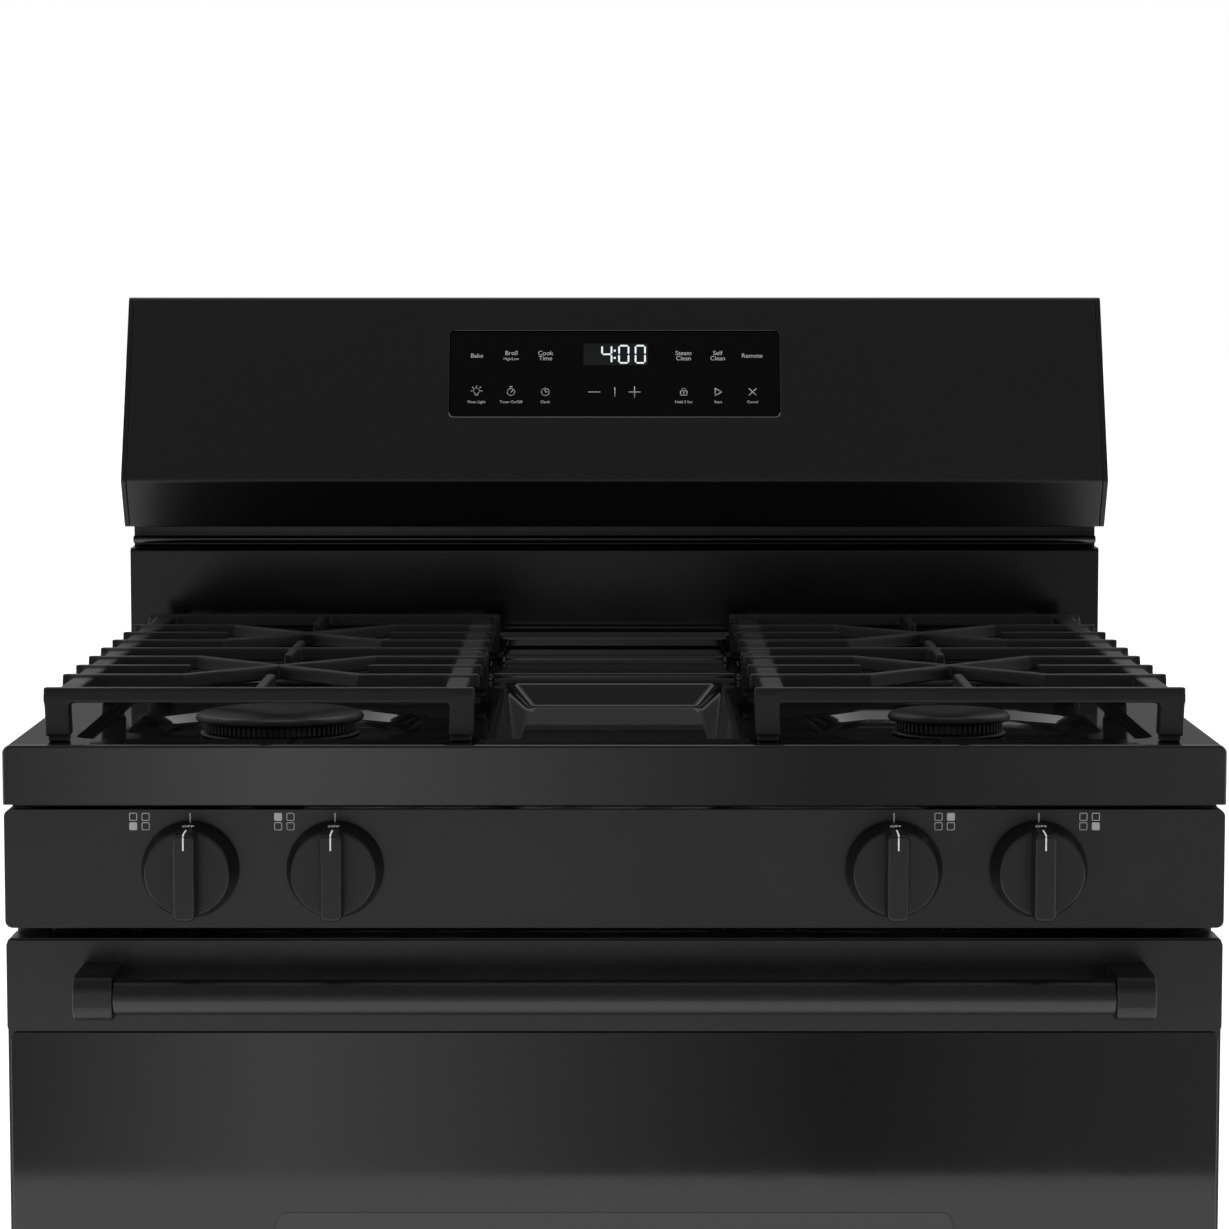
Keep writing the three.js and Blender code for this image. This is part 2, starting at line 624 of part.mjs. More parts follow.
function doorGlass() {
  const sheet = rectangle(-DOOR.half + 2, DOOR.half - 2, DOOR.z0 + 3, TOP_BAND - 0.6, 5);
  return plateUpright(sheet, DOOR.front, DOOR.front + 3.2, 3);
}

/** Enamelled inner pan of the door, with its own window opening. */
function doorInnerPanel() {
  const [half, z0, z1, front, back] = [330, 286, 768, DOOR.back + GAP, DOOR.inner];
  return cut(
    join(block(-half, half, front, back, z0, z1)),
    block(-half + SHEET, half - SHEET, front - 1, back - SHEET, z0 + SHEET, z1 - SHEET),
    block(-WINDOW.half + 12, WINDOW.half - 12, back - SHEET - 1, back + 1, WINDOW.z0 + 12, WINDOW.z1 - 12),
  );
}

function doorInnerGlass() {
  const back = DOOR.inner - SHEET - GAP;
  return block(-WINDOW.half, WINDOW.half, back - 4, back, WINDOW.z0, WINDOW.z1);
}

const HANDLE = { z: 771, radius: 11, half: 330, postWidth: 24 };

function doorHandle() {
  const half = HANDLE.half - HANDLE.postWidth - GAP;
  const tube = turned([[0, -half], [HANDLE.radius, -half], [HANDLE.radius, half], [0, half]], 20);
  return tube.rotateY(Math.PI / 2).translate(0, HANDLE_FRONT + HANDLE.radius, HANDLE.z);
}

function handlePost(side) {
  const [x0, x1] = side < 0 ? [-HANDLE.half, -HANDLE.half + HANDLE.postWidth]
    : [HANDLE.half - HANDLE.postWidth, HANDLE.half];
  const outer = new THREE.Shape();
  const r = 12;
  const back = DOOR.front - GAP;
  outer.moveTo(back, HANDLE.z - 14).lineTo(back, HANDLE.z + 14).lineTo(HANDLE_FRONT + r, HANDLE.z + r);
  outer.absarc(HANDLE_FRONT + r, HANDLE.z, r, Math.PI / 2, Math.PI * 1.5, false);
  return profile(outer, x0, x1);
}

/** Arm that the door swings on: a round boss at the pivot, and a bar back to the front frame. */
function hingeArm(side) {
  const x = HINGE.x * side;
  const boss = new THREE.CylinderGeometry(10, 10, 12, 16).rotateZ(Math.PI / 2);
  const back = FRAME_FRONT - GAP;
  return join(
    boss.translate(x, HINGE.y, HINGE.z),
    block(x - 6, x + 6, HINGE.y, back, HINGE.z + 5, HINGE.z + 9.5),
    block(x - 6, x + 6, back - 2, back, HINGE.z + 5, HINGE.z + 30),
  );
}

place('door_outer_panel', doorOuterPanel(), paint);
place('door_glass', doorGlass(), blackGlass);
place('door_inner_panel', doorInnerPanel(), ovenEnamel);
place('door_inner_glass', doorInnerGlass(), clearGlass);
place('door_handle', doorHandle(), blackPlastic);
place('handle_post_left', handlePost(-1), blackPlastic);
place('handle_post_right', handlePost(1), blackPlastic);
place('door_hinge_left', hingeArm(-1), galvanised);
place('door_hinge_right', hingeArm(1), galvanised);

// ---- storage drawer -----------------------------------------------------------------------

function drawerFront() {
  const { half, z0, z1, depth } = DRAWER;
  const sheet = rectangle(-half, half, z0, z1, 4);
  return cut(
    join(plateUpright(sheet, 0, depth, 2)),
    block(-half + SHEET, half - SHEET, SHEET, depth + 1, z0 + SHEET, z1 - SHEET),
  );
}

function drawerBox() {
  const { boxHalf, boxBack, boxTop } = DRAWER;
  const front = SHEET + GAP;
  const bottom = 72;
  return cut(
    join(block(-boxHalf, boxHalf, front, boxBack, bottom, boxTop)),
    block(-boxHalf + SHEET, boxHalf - SHEET, front + SHEET, boxBack - SHEET, bottom + SHEET, boxTop + 1),
  );
}

place('drawer_front', drawerFront(), paint);
place('drawer_box', drawerBox(), galvanised);

export default range;
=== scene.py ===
# %% [markdown]
# # A freestanding gas range
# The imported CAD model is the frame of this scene: it says where every piece sits and which body
# it moves with. Blender adds what the eye reads as a real cooker: rounded sheet edges, cast bars,
# printed markings, glass, and the way gloss enamel mirrors a studio.

# %% The frame and the measuring helpers
import math

import bmesh
import bpy
from mathutils import Matrix, Vector


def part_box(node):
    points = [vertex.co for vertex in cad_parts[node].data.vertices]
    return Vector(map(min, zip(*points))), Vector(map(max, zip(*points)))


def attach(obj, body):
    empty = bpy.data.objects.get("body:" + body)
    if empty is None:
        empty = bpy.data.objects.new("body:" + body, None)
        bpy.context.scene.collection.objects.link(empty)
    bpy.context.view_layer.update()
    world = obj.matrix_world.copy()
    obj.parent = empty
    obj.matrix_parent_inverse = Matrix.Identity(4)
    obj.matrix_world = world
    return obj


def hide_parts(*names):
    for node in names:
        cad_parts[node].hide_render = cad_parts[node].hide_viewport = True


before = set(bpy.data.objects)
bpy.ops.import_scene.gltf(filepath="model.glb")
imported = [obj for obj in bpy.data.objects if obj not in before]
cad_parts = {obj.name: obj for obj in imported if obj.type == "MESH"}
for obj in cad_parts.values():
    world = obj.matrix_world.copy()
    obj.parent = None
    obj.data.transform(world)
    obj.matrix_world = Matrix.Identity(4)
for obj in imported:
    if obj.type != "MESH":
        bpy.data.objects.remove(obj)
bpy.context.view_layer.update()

MM = 0.001


def corners(node):
    """Lowest and highest corner of a CAD node."""
    low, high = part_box(node)
    return Vector(low), Vector(high)


apron_low, apron_high = corners("cooktop")
FRONT = apron_low.y  # front face of the cooktop's apron
HALF = apron_high.x  # half the width of the range
GAP = 0.3 * MM  # air left between parts that lie on each other
SHEET = 1.2 * MM  # steel sheet of the body and the door
RIM = corners("grate_left")[0].z - GAP  # top of the cooktop's rim


def back(distance_mm):
    """Depth, measured back from the face of the apron."""
    return FRONT + distance_mm * MM


# %% [markdown]
# ## The studio
# Black gloss has hardly any colour of its own. What is seen on it is the room, so the room is
# drawn with care: a world of soft zones, which reflections see and the camera doesn't. In front
# stand pale and dark cards side by side, above them hangs a dim ceiling, pale flanks light the
# rims, and behind the cooker the wall is dark with one bright banner over it. Lamps alone could
# do this, but each would need its own place and size, and would show as a hard patch. The camera
# stands a little above the cooker and looks slightly down through a long lens, so the console
# and the front stay nearly square. The numbers are metres, degrees and millimetres of lens.

# %% The camera
CAMERA = {"distance": 2.2834, "height": 1.201, "pitch": 4.975, "lens": 108.82}

camera = bpy.data.cameras.new("studio_camera")
camera.lens = CAMERA["lens"]
camera.sensor_width = 36
camera.clip_end = 100
camera_object = bpy.data.objects.new("studio_camera", camera)
camera_object.location = (0, FRONT - CAMERA["distance"], CAMERA["height"])
camera_object.rotation_euler = (math.radians(90 - CAMERA["pitch"]), 0, 0)
bpy.context.scene.collection.objects.link(camera_object)
bpy.context.scene.camera = camera_object
bpy.context.scene.view_settings.view_transform = "Standard"
print("camera", [round(v, 3) for v in camera_object.location])


# %% Nodes, colours and links in one small function
def linear(hex_colour):
    """An sRGB hex colour as the linear RGBA that Blender works in."""
    channels = [int(hex_colour[i:i + 2], 16) / 255 for i in (1, 3, 5)]
    return [c / 12.92 if c <= 0.04045 else ((c + 0.055) / 1.055) ** 2.4 for c in channels] + [1]


def add(tree, kind, inputs=None, **settings):
    """Add a node, set its properties, then set or link its inputs."""
    node = tree.nodes.new(kind)
    for name, value in settings.items():
        setattr(node, name, value)
    for socket, value in (inputs or {}).items():
        if isinstance(value, bpy.types.NodeSocket):
            tree.links.new(value, node.inputs[socket])
        else:
            node.inputs[socket].default_value = value
    return node


# %% The surround and the lights
world = bpy.data.worlds.new("studio_surround")
bpy.context.scene.world = world
world.use_nodes = True
tree = world.node_tree
tree.nodes.clear()
direction = add(tree, "ShaderNodeTexCoord")
heading = add(tree, "ShaderNodeSeparateXYZ", {0: direction.outputs["Generated"]}).outputs
across = add(tree, "ShaderNodeMath", {0: heading["X"]}, operation="ABSOLUTE").outputs[0]


def fade(value, start, full):
    """0 before start, 1 past full, and an even ramp between them."""
    limits = {"Value": value, "From Min": start, "From Max": full}
    return add(tree, "ShaderNodeMapRange", limits).outputs[0]


def over(share, below, radiance):
    """Lay an even radiance over what is below it, as far as share says."""
    inputs = {"Factor": share, 6: below, 7: (radiance, radiance, radiance, 1)}
    return add(tree, "ShaderNodeMix", inputs, data_type="RGBA").outputs[2]


CARDS = ((0.0, 0.45), (0.17, 0.40), (0.32, 1.05), (0.5, 0.5), (0.62, 0.22),
         (0.70, 0.34), (0.83, 0.46), (1.0, 0.48))  # place from left to right, radiance
CEILING, DARK_WALL, FLANKS, BANNER = 0.23, 0.13, 0.55, 0.95  # radiance
cards = add(tree, "ShaderNodeValToRGB", {0: fade(heading["X"], -0.25, 0.25)})
stops = cards.color_ramp.elements
while len(stops) < len(CARDS):
    stops.new(0.5)
for stop, (place, level) in zip(stops, CARDS):
    stop.position, stop.color = place, (level, level, level, 1)
room = over(fade(heading["Z"], 0.05, 0.45), cards.outputs["Color"], CEILING)
room = over(fade(heading["Y"], -0.1, 0.1), room, DARK_WALL)
room = over(fade(across, 0.45, 0.75), room, FLANKS)
high_behind = {0: fade(heading["Y"], 0.05, 0.4), 1: fade(heading["Z"], 0.14, 0.3)}
banner = add(tree, "ShaderNodeMath", high_behind, operation="MULTIPLY").outputs[0]
room = over(banner, room, BANNER)
mirrored = add(tree, "ShaderNodeBackground", {"Color": room, "Strength": 1.0})
seen = add(tree, "ShaderNodeBackground", {"Color": (1, 1, 1, 1), "Strength": 1.0})
ray = add(tree, "ShaderNodeLightPath")
chosen = add(tree, "ShaderNodeMixShader", {0: ray.outputs["Is Camera Ray"], 1: mirrored.outputs[0],
                                          2: seen.outputs[0]})
add(tree, "ShaderNodeOutputWorld", {"Surface": chosen.outputs[0]})


def soft_box(name, place, aim, width, height_m, watts):
    """A rectangular studio light that points from one place at another."""
    lamp = bpy.data.lights.new(name, "AREA")
    lamp.shape = "RECTANGLE"
    lamp.size, lamp.size_y, lamp.energy = width, height_m, watts
    holder = bpy.data.objects.new(name, lamp)
    holder.location = place
    turn = (Vector(aim) - Vector(place)).to_track_quat("-Z", "Y")
    holder.rotation_euler = turn.to_euler()
    holder.visible_glossy = False
    bpy.context.scene.collection.objects.link(holder)


soft_box("overhead", (0, 0.2, 3.2), (0, 0, 0.9), 2.6, 1.2, 40)
soft_box("front_left", (-2.2, -3.0, 0.9), (0, 0, 0.8), 0.9, 1.2, 12)

floor_mesh = bpy.data.meshes.new("studio_floor")
floor_mesh.from_pydata([(-30, -3, 0), (30, -3, 0), (30, 60, 0), (-30, 60, 0)], [], [(0, 1, 2, 3)])
floor = bpy.data.objects.new("studio_floor", floor_mesh)
bpy.context.scene.collection.objects.link(floor)
PAPER = {"Base Color": (0.93, 0.93, 0.93, 1), "Roughness": 0.9, "Emission Color": (1, 1, 1, 1),
         "Emission Strength": 0.75}
paper = bpy.data.materials.new("pale_paper")
paper.use_nodes = True
for socket, value in PAPER.items():
    paper.node_tree.nodes["Principled BSDF"].inputs[socket].default_value = value
floor_mesh.materials.append(paper)
print("two soft boxes, one pale floor")

# %% [markdown]
# ## Finishes
# Every finish starts from what it is and how its surface was made. Patterns read Object
# coordinates, which are metres here, so a grain of 0.5 mm is noise at a scale of about 2000.

# %% A finish with grain, waviness and wear
def finish(name, colour, roughness, metallic=0.0, ior=1.5, grain_mm=1.0, grain_depth_mm=0.0,
           roughness_spread=0.0, patch_mm=60.0, tint=None, **sockets):
    """A Principled material whose bump and roughness come from noise of a stated size.

    The colour goes from colour to tint with the same patches that vary the roughness.
    """
    material = bpy.data.materials.new(name)
    material.use_nodes = True
    tree = material.node_tree
    tree.nodes.clear()
    where = add(tree, "ShaderNodeTexCoord").outputs["Object"]

    def noise(size_mm, detail, roughness):
        return add(tree, "ShaderNodeTexNoise", {"Vector": where, "Scale": 1000 / size_mm,
                                                "Detail": detail, "Roughness": roughness}).outputs["Fac"]

    patches = noise(patch_mm, 5.0, 0.6)
    rough = add(tree, "ShaderNodeMapRange", {"Value": patches, "From Min": 0.3,
                                             "From Max": 0.7, "To Min": roughness - roughness_spread,
                                             "To Max": roughness + roughness_spread})
    shader = add(tree, "ShaderNodeBsdfPrincipled", {"Roughness": rough.outputs[0], "Metallic": metallic})
    if metallic < 1:
        shader.inputs["IOR"].default_value = ior
    shader.inputs["Base Color"].default_value = linear(colour)
    if tint:
        blend = add(tree, "ShaderNodeMix", {"Factor": patches, 6: linear(colour), 7: linear(tint)},
                    data_type="RGBA")
        tree.links.new(blend.outputs[2], shader.inputs["Base Color"])
    for socket, value in sockets.items():
        shader.inputs[socket.replace("_", " ")].default_value = value
    if grain_depth_mm:
        bump = add(tree, "ShaderNodeBump", {"Height": noise(grain_mm, 3.0, 0.55), "Strength": 1.0,
                                            "Distance": grain_depth_mm * MM})
        tree.links.new(bump.outputs[0], shader.inputs["Normal"])
    add(tree, "ShaderNodeOutputMaterial", {"Surface": shader.outputs[0]})
    return material


# %% [markdown]
# Porcelain enamel is glass fused to pressed steel: jet black, mirror smooth, with a slow waviness
# of a few millimetres where the glass flowed. Baked paint is duller and has a finer orange peel.
# Cast iron keeps the grain of its sand mould under a thin matte enamel. Moulded ABS has a fine
# spark-eroded texture, so its reflections spread.

# %% The finishes themselves
ENAMEL = finish("porcelain_enamel_black", "#0b0b0d", 0.07, grain_mm=9, grain_depth_mm=0.012,
                roughness_spread=0.025, patch_mm=90, Coat_Weight=0.3, Coat_Roughness=0.03)
SATIN_ENAMEL = finish("porcelain_enamel_satin", "#060607", 0.17, grain_mm=9, grain_depth_mm=0.012,
                      roughness_spread=0.03, patch_mm=120, Specular_IOR_Level=0.36)
PAINT = finish("baked_paint_black", "#0c0c0d", 0.27, grain_mm=1.6, grain_depth_mm=0.006,
               roughness_spread=0.03, patch_mm=140, tint="#101011")
CONSOLE_PAINT = finish("console_paint_black", "#0c0c0d", 0.3, grain_mm=1.2, grain_depth_mm=0.006,
                       roughness_spread=0.03, patch_mm=160)
CAST_IRON = finish("enamelled_cast_iron", "#0c0c0d", 0.46, grain_mm=1.1, grain_depth_mm=0.10,
                   roughness_spread=0.08, patch_mm=25, tint="#171718",
                   Specular_IOR_Level=0.28)
CAP_IRON = finish("burner_cap_enamel", "#0c0c0d", 0.42, grain_mm=0.7, grain_depth_mm=0.03,
                  roughness_spread=0.06, patch_mm=30, tint="#131314",
                  Specular_IOR_Level=0.25)
ABS = finish("moulded_abs_black", "#0d0d0e", 0.33, grain_mm=0.5, grain_depth_mm=0.012,
             roughness_spread=0.03, patch_mm=40, Specular_IOR_Level=0.42)
NYLON = finish("moulded_nylon_black", "#171717", 0.55, grain_mm=0.8, grain_depth_mm=0.02,
               roughness_spread=0.05, patch_mm=30)
BLACK_GLASS = finish("black_backed_glass", "#050506", 0.04, ior=1.52, grain_mm=60, grain_depth_mm=0.01,
                     roughness_spread=0.015, patch_mm=120)
ANTIGLARE = finish("anti_glare_pad_glass", "#050506", 0.12, ior=1.52, grain_mm=60, grain_depth_mm=0.004,
                   roughness_spread=0.03, patch_mm=120, Specular_IOR_Level=0.12)
CLEAR_GLASS = finish("tempered_glass", "#dfe6e6", 0.03, ior=1.52, roughness_spread=0.01,
                     Transmission_Weight=1.0)
INK = finish("screen_printed_grey", "#b9bbbd", 0.55, grain_mm=0.4, grain_depth_mm=0.004,
             roughness_spread=0.04, patch_mm=10, tint="#a9abad")
WHITE_INK = finish("hot_stamped_white", "#e6e6e4", 0.5, grain_mm=0.4, grain_depth_mm=0.004,
                   roughness_spread=0.04, patch_mm=10)
RUBBER = finish("silicone_rubber", "#101010", 0.7, grain_mm=0.9, grain_depth_mm=0.02,
                roughness_spread=0.05, patch_mm=12)
ALUMINIUM = finish("cast_aluminium_aged", "#565759", 0.52, metallic=1.0, grain_mm=0.8,
                   grain_depth_mm=0.03, roughness_spread=0.1, patch_mm=18, tint="#343332")
CHROME = finish("plated_wire", "#c3c5c7", 0.16, metallic=1.0, grain_mm=6, grain_depth_mm=0.01,
                roughness_spread=0.06, patch_mm=40, tint="#a5a5a6")
BRASS = finish("machined_brass", "#b08d4f", 0.3, metallic=1.0, grain_mm=0.3, grain_depth_mm=0.01,
               roughness_spread=0.08, patch_mm=12, tint="#8f6f3a")
STAINLESS = finish("screw_steel_black", "#3a3a3c", 0.35, metallic=1.0, grain_mm=0.4,
                   grain_depth_mm=0.01, roughness_spread=0.1, patch_mm=8)
CERAMIC = finish("glazed_alumina", "#dcd9d0", 0.25, grain_mm=2, grain_depth_mm=0.01,
                 roughness_spread=0.05, patch_mm=8, tint="#c8c2b4")


def cellular(name, base, speck, cell_mm, roughness, metallic=0.0, share=1.0, reach=(0.0, 1.0)):
    """Zinc spangle or enamel specks: cells of a stated size, each with its own tone."""
    material = finish(name, base, roughness, metallic=metallic, roughness_spread=0.06, patch_mm=70)
    tree = material.node_tree
    shader = next(n for n in tree.nodes if n.type == "BSDF_PRINCIPLED")
    where = next(n for n in tree.nodes if n.type == "TEX_COORD").outputs["Object"]
    cells = add(tree, "ShaderNodeTexVoronoi", {"Vector": where, "Scale": 1000 / cell_mm})
    if metallic:
        tone = add(tree, "ShaderNodeSeparateColor", {0: cells.outputs["Color"]}).outputs[0]
    else:
        tone = cells.outputs["Distance"]
    amount = add(tree, "ShaderNodeMapRange", {"Value": tone, "From Min": reach[0], "From Max": reach[1],
                                              "To Min": 0.0, "To Max": share})
    mix = add(tree, "ShaderNodeMix", {"Factor": amount.outputs[0], 6: linear(base), 7: linear(speck)},
              data_type="RGBA")
    tree.links.new(mix.outputs[2], shader.inputs["Base Color"])
    return material


GALVANISED = cellular("zinc_coated_steel", "#8d9093", "#a3a6a8", 9, 0.42, metallic=1.0)
OVEN_ENAMEL = cellular("oven_enamel_speckled", "#b9bcc0", "#25272b", 3.0, 0.24, reach=(0.05, 0.16))
BRAID = finish("braided_glass_fibre", "#56575a", 0.85, grain_mm=1.4, grain_depth_mm=0.5,
               roughness_spread=0.05, patch_mm=6, tint="#3c3d3f")

# The digits are lit from behind through a thin diffuser, so they glow evenly and don't mirror.
GLOW = finish("display_segments_lit", "#dfe8ea", 0.5, roughness_spread=0.04, patch_mm=4,
              Emission_Color=linear("#dfeef2"), Emission_Strength=0.45)
print(len(bpy.data.materials), "finishes")

# %% [markdown]
# ## Tools for sheet, castings and turned pieces
# Most of a cooker is folded sheet and mouldings with small, even radii. The helpers below make a
# plain solid in bmesh, let the Bevel modifier roll its edges, and keep the result as one mesh
# whose object stays at the origin.

# %% From a bmesh to a finished piece
def placed(name, data):
    """A new object of this name in the scene, unturned and at the origin."""
    piece = bpy.data.objects.new(name, data)
    bpy.context.scene.collection.objects.link(piece)
    return piece


def as_object(name, bm, material):
    """Keep a finished bmesh as an object of one material."""
    mesh = bpy.data.meshes.new(name)
    bm.to_mesh(mesh)
    bm.free()
    mesh.materials.append(material)
    return placed(name, mesh)


def evaluated_mesh(piece):
    """The mesh that an object's modifiers or its curve come to."""
    bpy.context.view_layer.update()
    evaluated = piece.evaluated_get(bpy.context.evaluated_depsgraph_get())
    return bpy.data.meshes.new_from_object(evaluated)


def settle(piece, smooth=True, crease=None):
    """Apply every modifier and keep the result. Smooth shading is weighted so flat faces stay flat.

    An edge that turns by more than crease degrees stays sharp.
    """
    if smooth:
        piece.data.shade_smooth()
        if crease:
            bm = bmesh.new()
            bm.from_mesh(piece.data)
            for edge in bm.edges:
                edge.smooth = edge.calc_face_angle(0) < math.radians(crease)
            bm.to_mesh(piece.data)
            bm.free()
        piece.modifiers.new("flat_faces", "WEIGHTED_NORMAL").keep_sharp = True
    mesh = evaluated_mesh(piece)
    piece.modifiers.clear()
    piece.data = mesh
    return piece


def roll_edges(piece, radius_mm, segments=3, angle=28, clamp=True):
    """Round every edge sharper than the angle, with flat faces kept flat."""
    bevel = piece.modifiers.new("rolled_edges", "BEVEL")
    bevel.width = radius_mm * MM
    bevel.segments = segments
    bevel.limit_method = "ANGLE"
    bevel.angle_limit = math.radians(angle)
    bevel.use_clamp_overlap = clamp
    bevel.harden_normals = True
    return settle(piece)


def belongs(piece, body, slot, *nodes):
    """Tie a piece to its body and let it stand for its CAD nodes; the slot is not used."""
    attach(piece, body)
    if nodes:
        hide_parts(*nodes)
    return piece


# %% Solids in bmesh
def block(low, high, bm=None):
    """Box between two corners, in metres."""
    bm = bm or bmesh.new()
    made = bmesh.ops.create_cube(bm, size=1)["verts"]
    size = Vector(high) - Vector(low)
    bmesh.ops.scale(bm, vec=size, verts=made)
    bmesh.ops.translate(bm, vec=Vector(low) + size / 2, verts=made)
    return bm


def prism(points, start, end, axis="X", bm=None):
    """Closed outline pushed along an axis. Outlines are (y, z), (x, z) or (x, y) pairs."""
    bm = bm or bmesh.new()
    place = {"X": lambda p, d: (d, p[0], p[1]), "Y": lambda p, d: (p[0], d, p[1]),
             "Z": lambda p, d: (p[0], p[1], d)}[axis]
    face = bm.faces.new([bm.verts.new(place(p, start)) for p in points])
    top = bmesh.ops.extrude_face_region(bm, geom=[face])["geom"]
    moved = [v for v in top if isinstance(v, bmesh.types.BMVert)]
    shift = {"X": (end - start, 0, 0), "Y": (0, end - start, 0), "Z": (0, 0, end - start)}[axis]
    bmesh.ops.translate(bm, vec=shift, verts=moved)
    bmesh.ops.recalc_face_normals(bm, faces=bm.faces)
    return bm


def loft(bm, lower, upper):
    """Closed solid between two outlines of as many points, given as (x, y, z)."""
    low, high = ([bm.verts.new(point) for point in outline] for outline in (lower, upper))
    bm.faces.new(low[::-1])
    bm.faces.new(high)
    for k in range(len(low)):
        n = (k + 1) % len(low)
        bm.faces.new([low[k], low[n], high[n], high[k]])
    return bm


def filleted(points, radii, steps=6):
    """The outline with each corner turned into an arc of its own radius."""
    result = []
    count = len(points)
    for i, (x, y) in enumerate(points):
        here = Vector((x, y))
        before = Vector(points[i - 1]) - here
        after = Vector(points[(i + 1) % count]) - here
        radius = radii[i] if isinstance(radii, (list, tuple)) else radii
        opening = before.angle(after)
        if radius <= 0 or opening > math.pi - 0.02:
            result.append((x, y))
            continue
        reach = radius / math.tan(opening / 2)
        middle = here + (before.normalized() + after.normalized()).normalized() * (
            radius / math.sin(opening / 2))
        first = here + before.normalized() * reach - middle
        last = here + after.normalized() * reach - middle
        sweep = first.angle_signed(last)
        for k in range(steps + 1):
            turned = Matrix.Rotation(-sweep * k / steps, 2) @ first
            result.append(tuple(middle + turned))
    return result


def oblong(x0, x1, y0, y1, radius, steps=6):
    """Rectangle with round corners."""
    return filleted([(x0, y0), (x1, y0), (x1, y1), (x0, y1)], radius, steps)


def slab(low, high, radius, axis="Y", steps=6):
    """Plate that fills the box between two corners, its outline round-cornered across the axis."""
    (x0, y0, z0), (x1, y1, z1) = low, high
    a0, a1, b0, b1, start, end = {"X": (y0, y1, z0, z1, x0, x1), "Y": (x0, x1, z0, z1, y0, y1),
                                  "Z": (x0, x1, y0, y1, z0, z1)}[axis]
    return prism(oblong(a0, a1, b0, b1, radius, steps), start, end, axis)


def in_mm(profile, base=0.0):
    """A profile drawn in millimetres, as metres, with its second number counted from base."""
    return [(first * MM, base + second * MM) for first, second in profile]


def lathe(profile, centre, axis="Z", steps=64, bm=None):
    """Turn (radius, along) pairs round an axis through the centre; ends on the axis are closed."""
    bm = bm or bmesh.new()
    to_world = {"Z": lambda r, a, s, c: (r * c, r * s, a), "Y": lambda r, a, s, c: (r * c, a, r * s),
                "X": lambda r, a, s, c: (a, r * c, r * s)}[axis]
    rings = []
    for radius, along in profile:
        if radius < 1e-7:
            rings.append([bm.verts.new(Vector(to_world(0, along, 0, 1)) + Vector(centre))])
            continue
        ring = []
        for k in range(steps):
            angle = math.tau * k / steps
            spot = Vector(to_world(radius, along, math.sin(angle), math.cos(angle)))
            ring.append(bm.verts.new(spot + Vector(centre)))
        rings.append(ring)
    for lower, upper in zip(rings, rings[1:]):
        if len(lower) == 1 and len(upper) == 1:
            continue
        for k in range(steps):
            n = (k + 1) % steps
            if len(lower) == 1:
                bm.faces.new([lower[0], upper[n], upper[k]])
            elif len(upper) == 1:
                bm.faces.new([lower[k], lower[n], upper[0]])
            else:
                bm.faces.new([lower[k], lower[n], upper[n], upper[k]])
    bmesh.ops.recalc_face_normals(bm, faces=bm.faces)
    return bm


def carve(piece, tool, operation="DIFFERENCE"):
    """Cut a tool out of a piece, or join it on."""
    cut = piece.modifiers.new("carve", "BOOLEAN")
    cut.operation = operation
    cut.solver = "EXACT"
    cut.object = tool
    settle(piece, smooth=False)
    bpy.data.objects.remove(tool)
    return piece


def scratch(bm):
    """A tool for carve; it never reaches the finished scene."""
    return as_object("scratch", bm, ENAMEL)


def from_curve(name, curve, material):
    """A curve or a text as a plain mesh of one material."""
    holder = placed(name, curve)
    mesh = evaluated_mesh(holder)
    bpy.data.objects.remove(holder)
    mesh.materials.clear()
    mesh.materials.append(material)
    return placed(name, mesh)


def swept(name, points, radius_mm, material, closed=False, sides=16):
    """Round rod or tube along a smooth path through the points."""
    curve = bpy.data.curves.new(name, "CURVE")
    curve.dimensions = "3D"
    curve.bevel_depth = radius_mm * MM
    curve.bevel_resolution = sides // 4
    curve.use_fill_caps = not closed
    spline = curve.splines.new("POLY")
    spline.points.add(len(points) - 1)
    for point, place in zip(spline.points, points):
        point.co = (*place, 1)
    spline.use_cyclic_u = closed
    piece = from_curve(name, curve, material)
    piece.data.shade_smooth()
    return piece


def unite(name, pieces):
    """Several meshes of one finish as one piece."""
    bm = bmesh.new()
    for piece in pieces:
        bm.from_mesh(piece.data)
    material = pieces[0].data.materials[0]
    for piece in pieces:
        bpy.data.objects.remove(piece)
    united = as_object(name, bm, material)
    united.data.shade_smooth()
    return united


print("helpers ready")

# %% [markdown]
# ## The cooktop
# One sheet of steel is pressed into a tray with burner wells, folded down round its rim, and
# enamelled. It is carved here from a solid block, its edges are rolled, and a Solidify modifier
# gives the open skin its thickness, which is the order the press works in. The wells are
# eight-sided with sloping walls, so each wall catches a different strip of the room.

# %% The pressed tray
BURNER_X = 0.2213
BURNER_ROWS = (160, 397)  # millimetres back from the apron
BURNERS = {f"{row}_{side}": (sign * BURNER_X, back(y)) for row, y in zip(("front", "rear"), BURNER_ROWS)
           for side, sign in (("left", -1), ("right", 1))}
TRAY_FLOOR = RIM - 5.5 * MM
WELL_FLOOR = RIM - 12 * MM
MIDDLE_FLOOR = RIM - 21 * MM


def octagon(x, y, half_x, half_y, corner):
    """Rectangle with cut corners, as plan points."""
    return [(x - half_x + corner, y - half_y), (x + half_x - corner, y - half_y),
            (x + half_x, y - half_y + corner), (x + half_x, y + half_y - corner),
            (x + half_x - corner, y + half_y), (x - half_x + corner, y + half_y),
            (x - half_x, y + half_y - corner), (x - half_x, y - half_y + corner)]


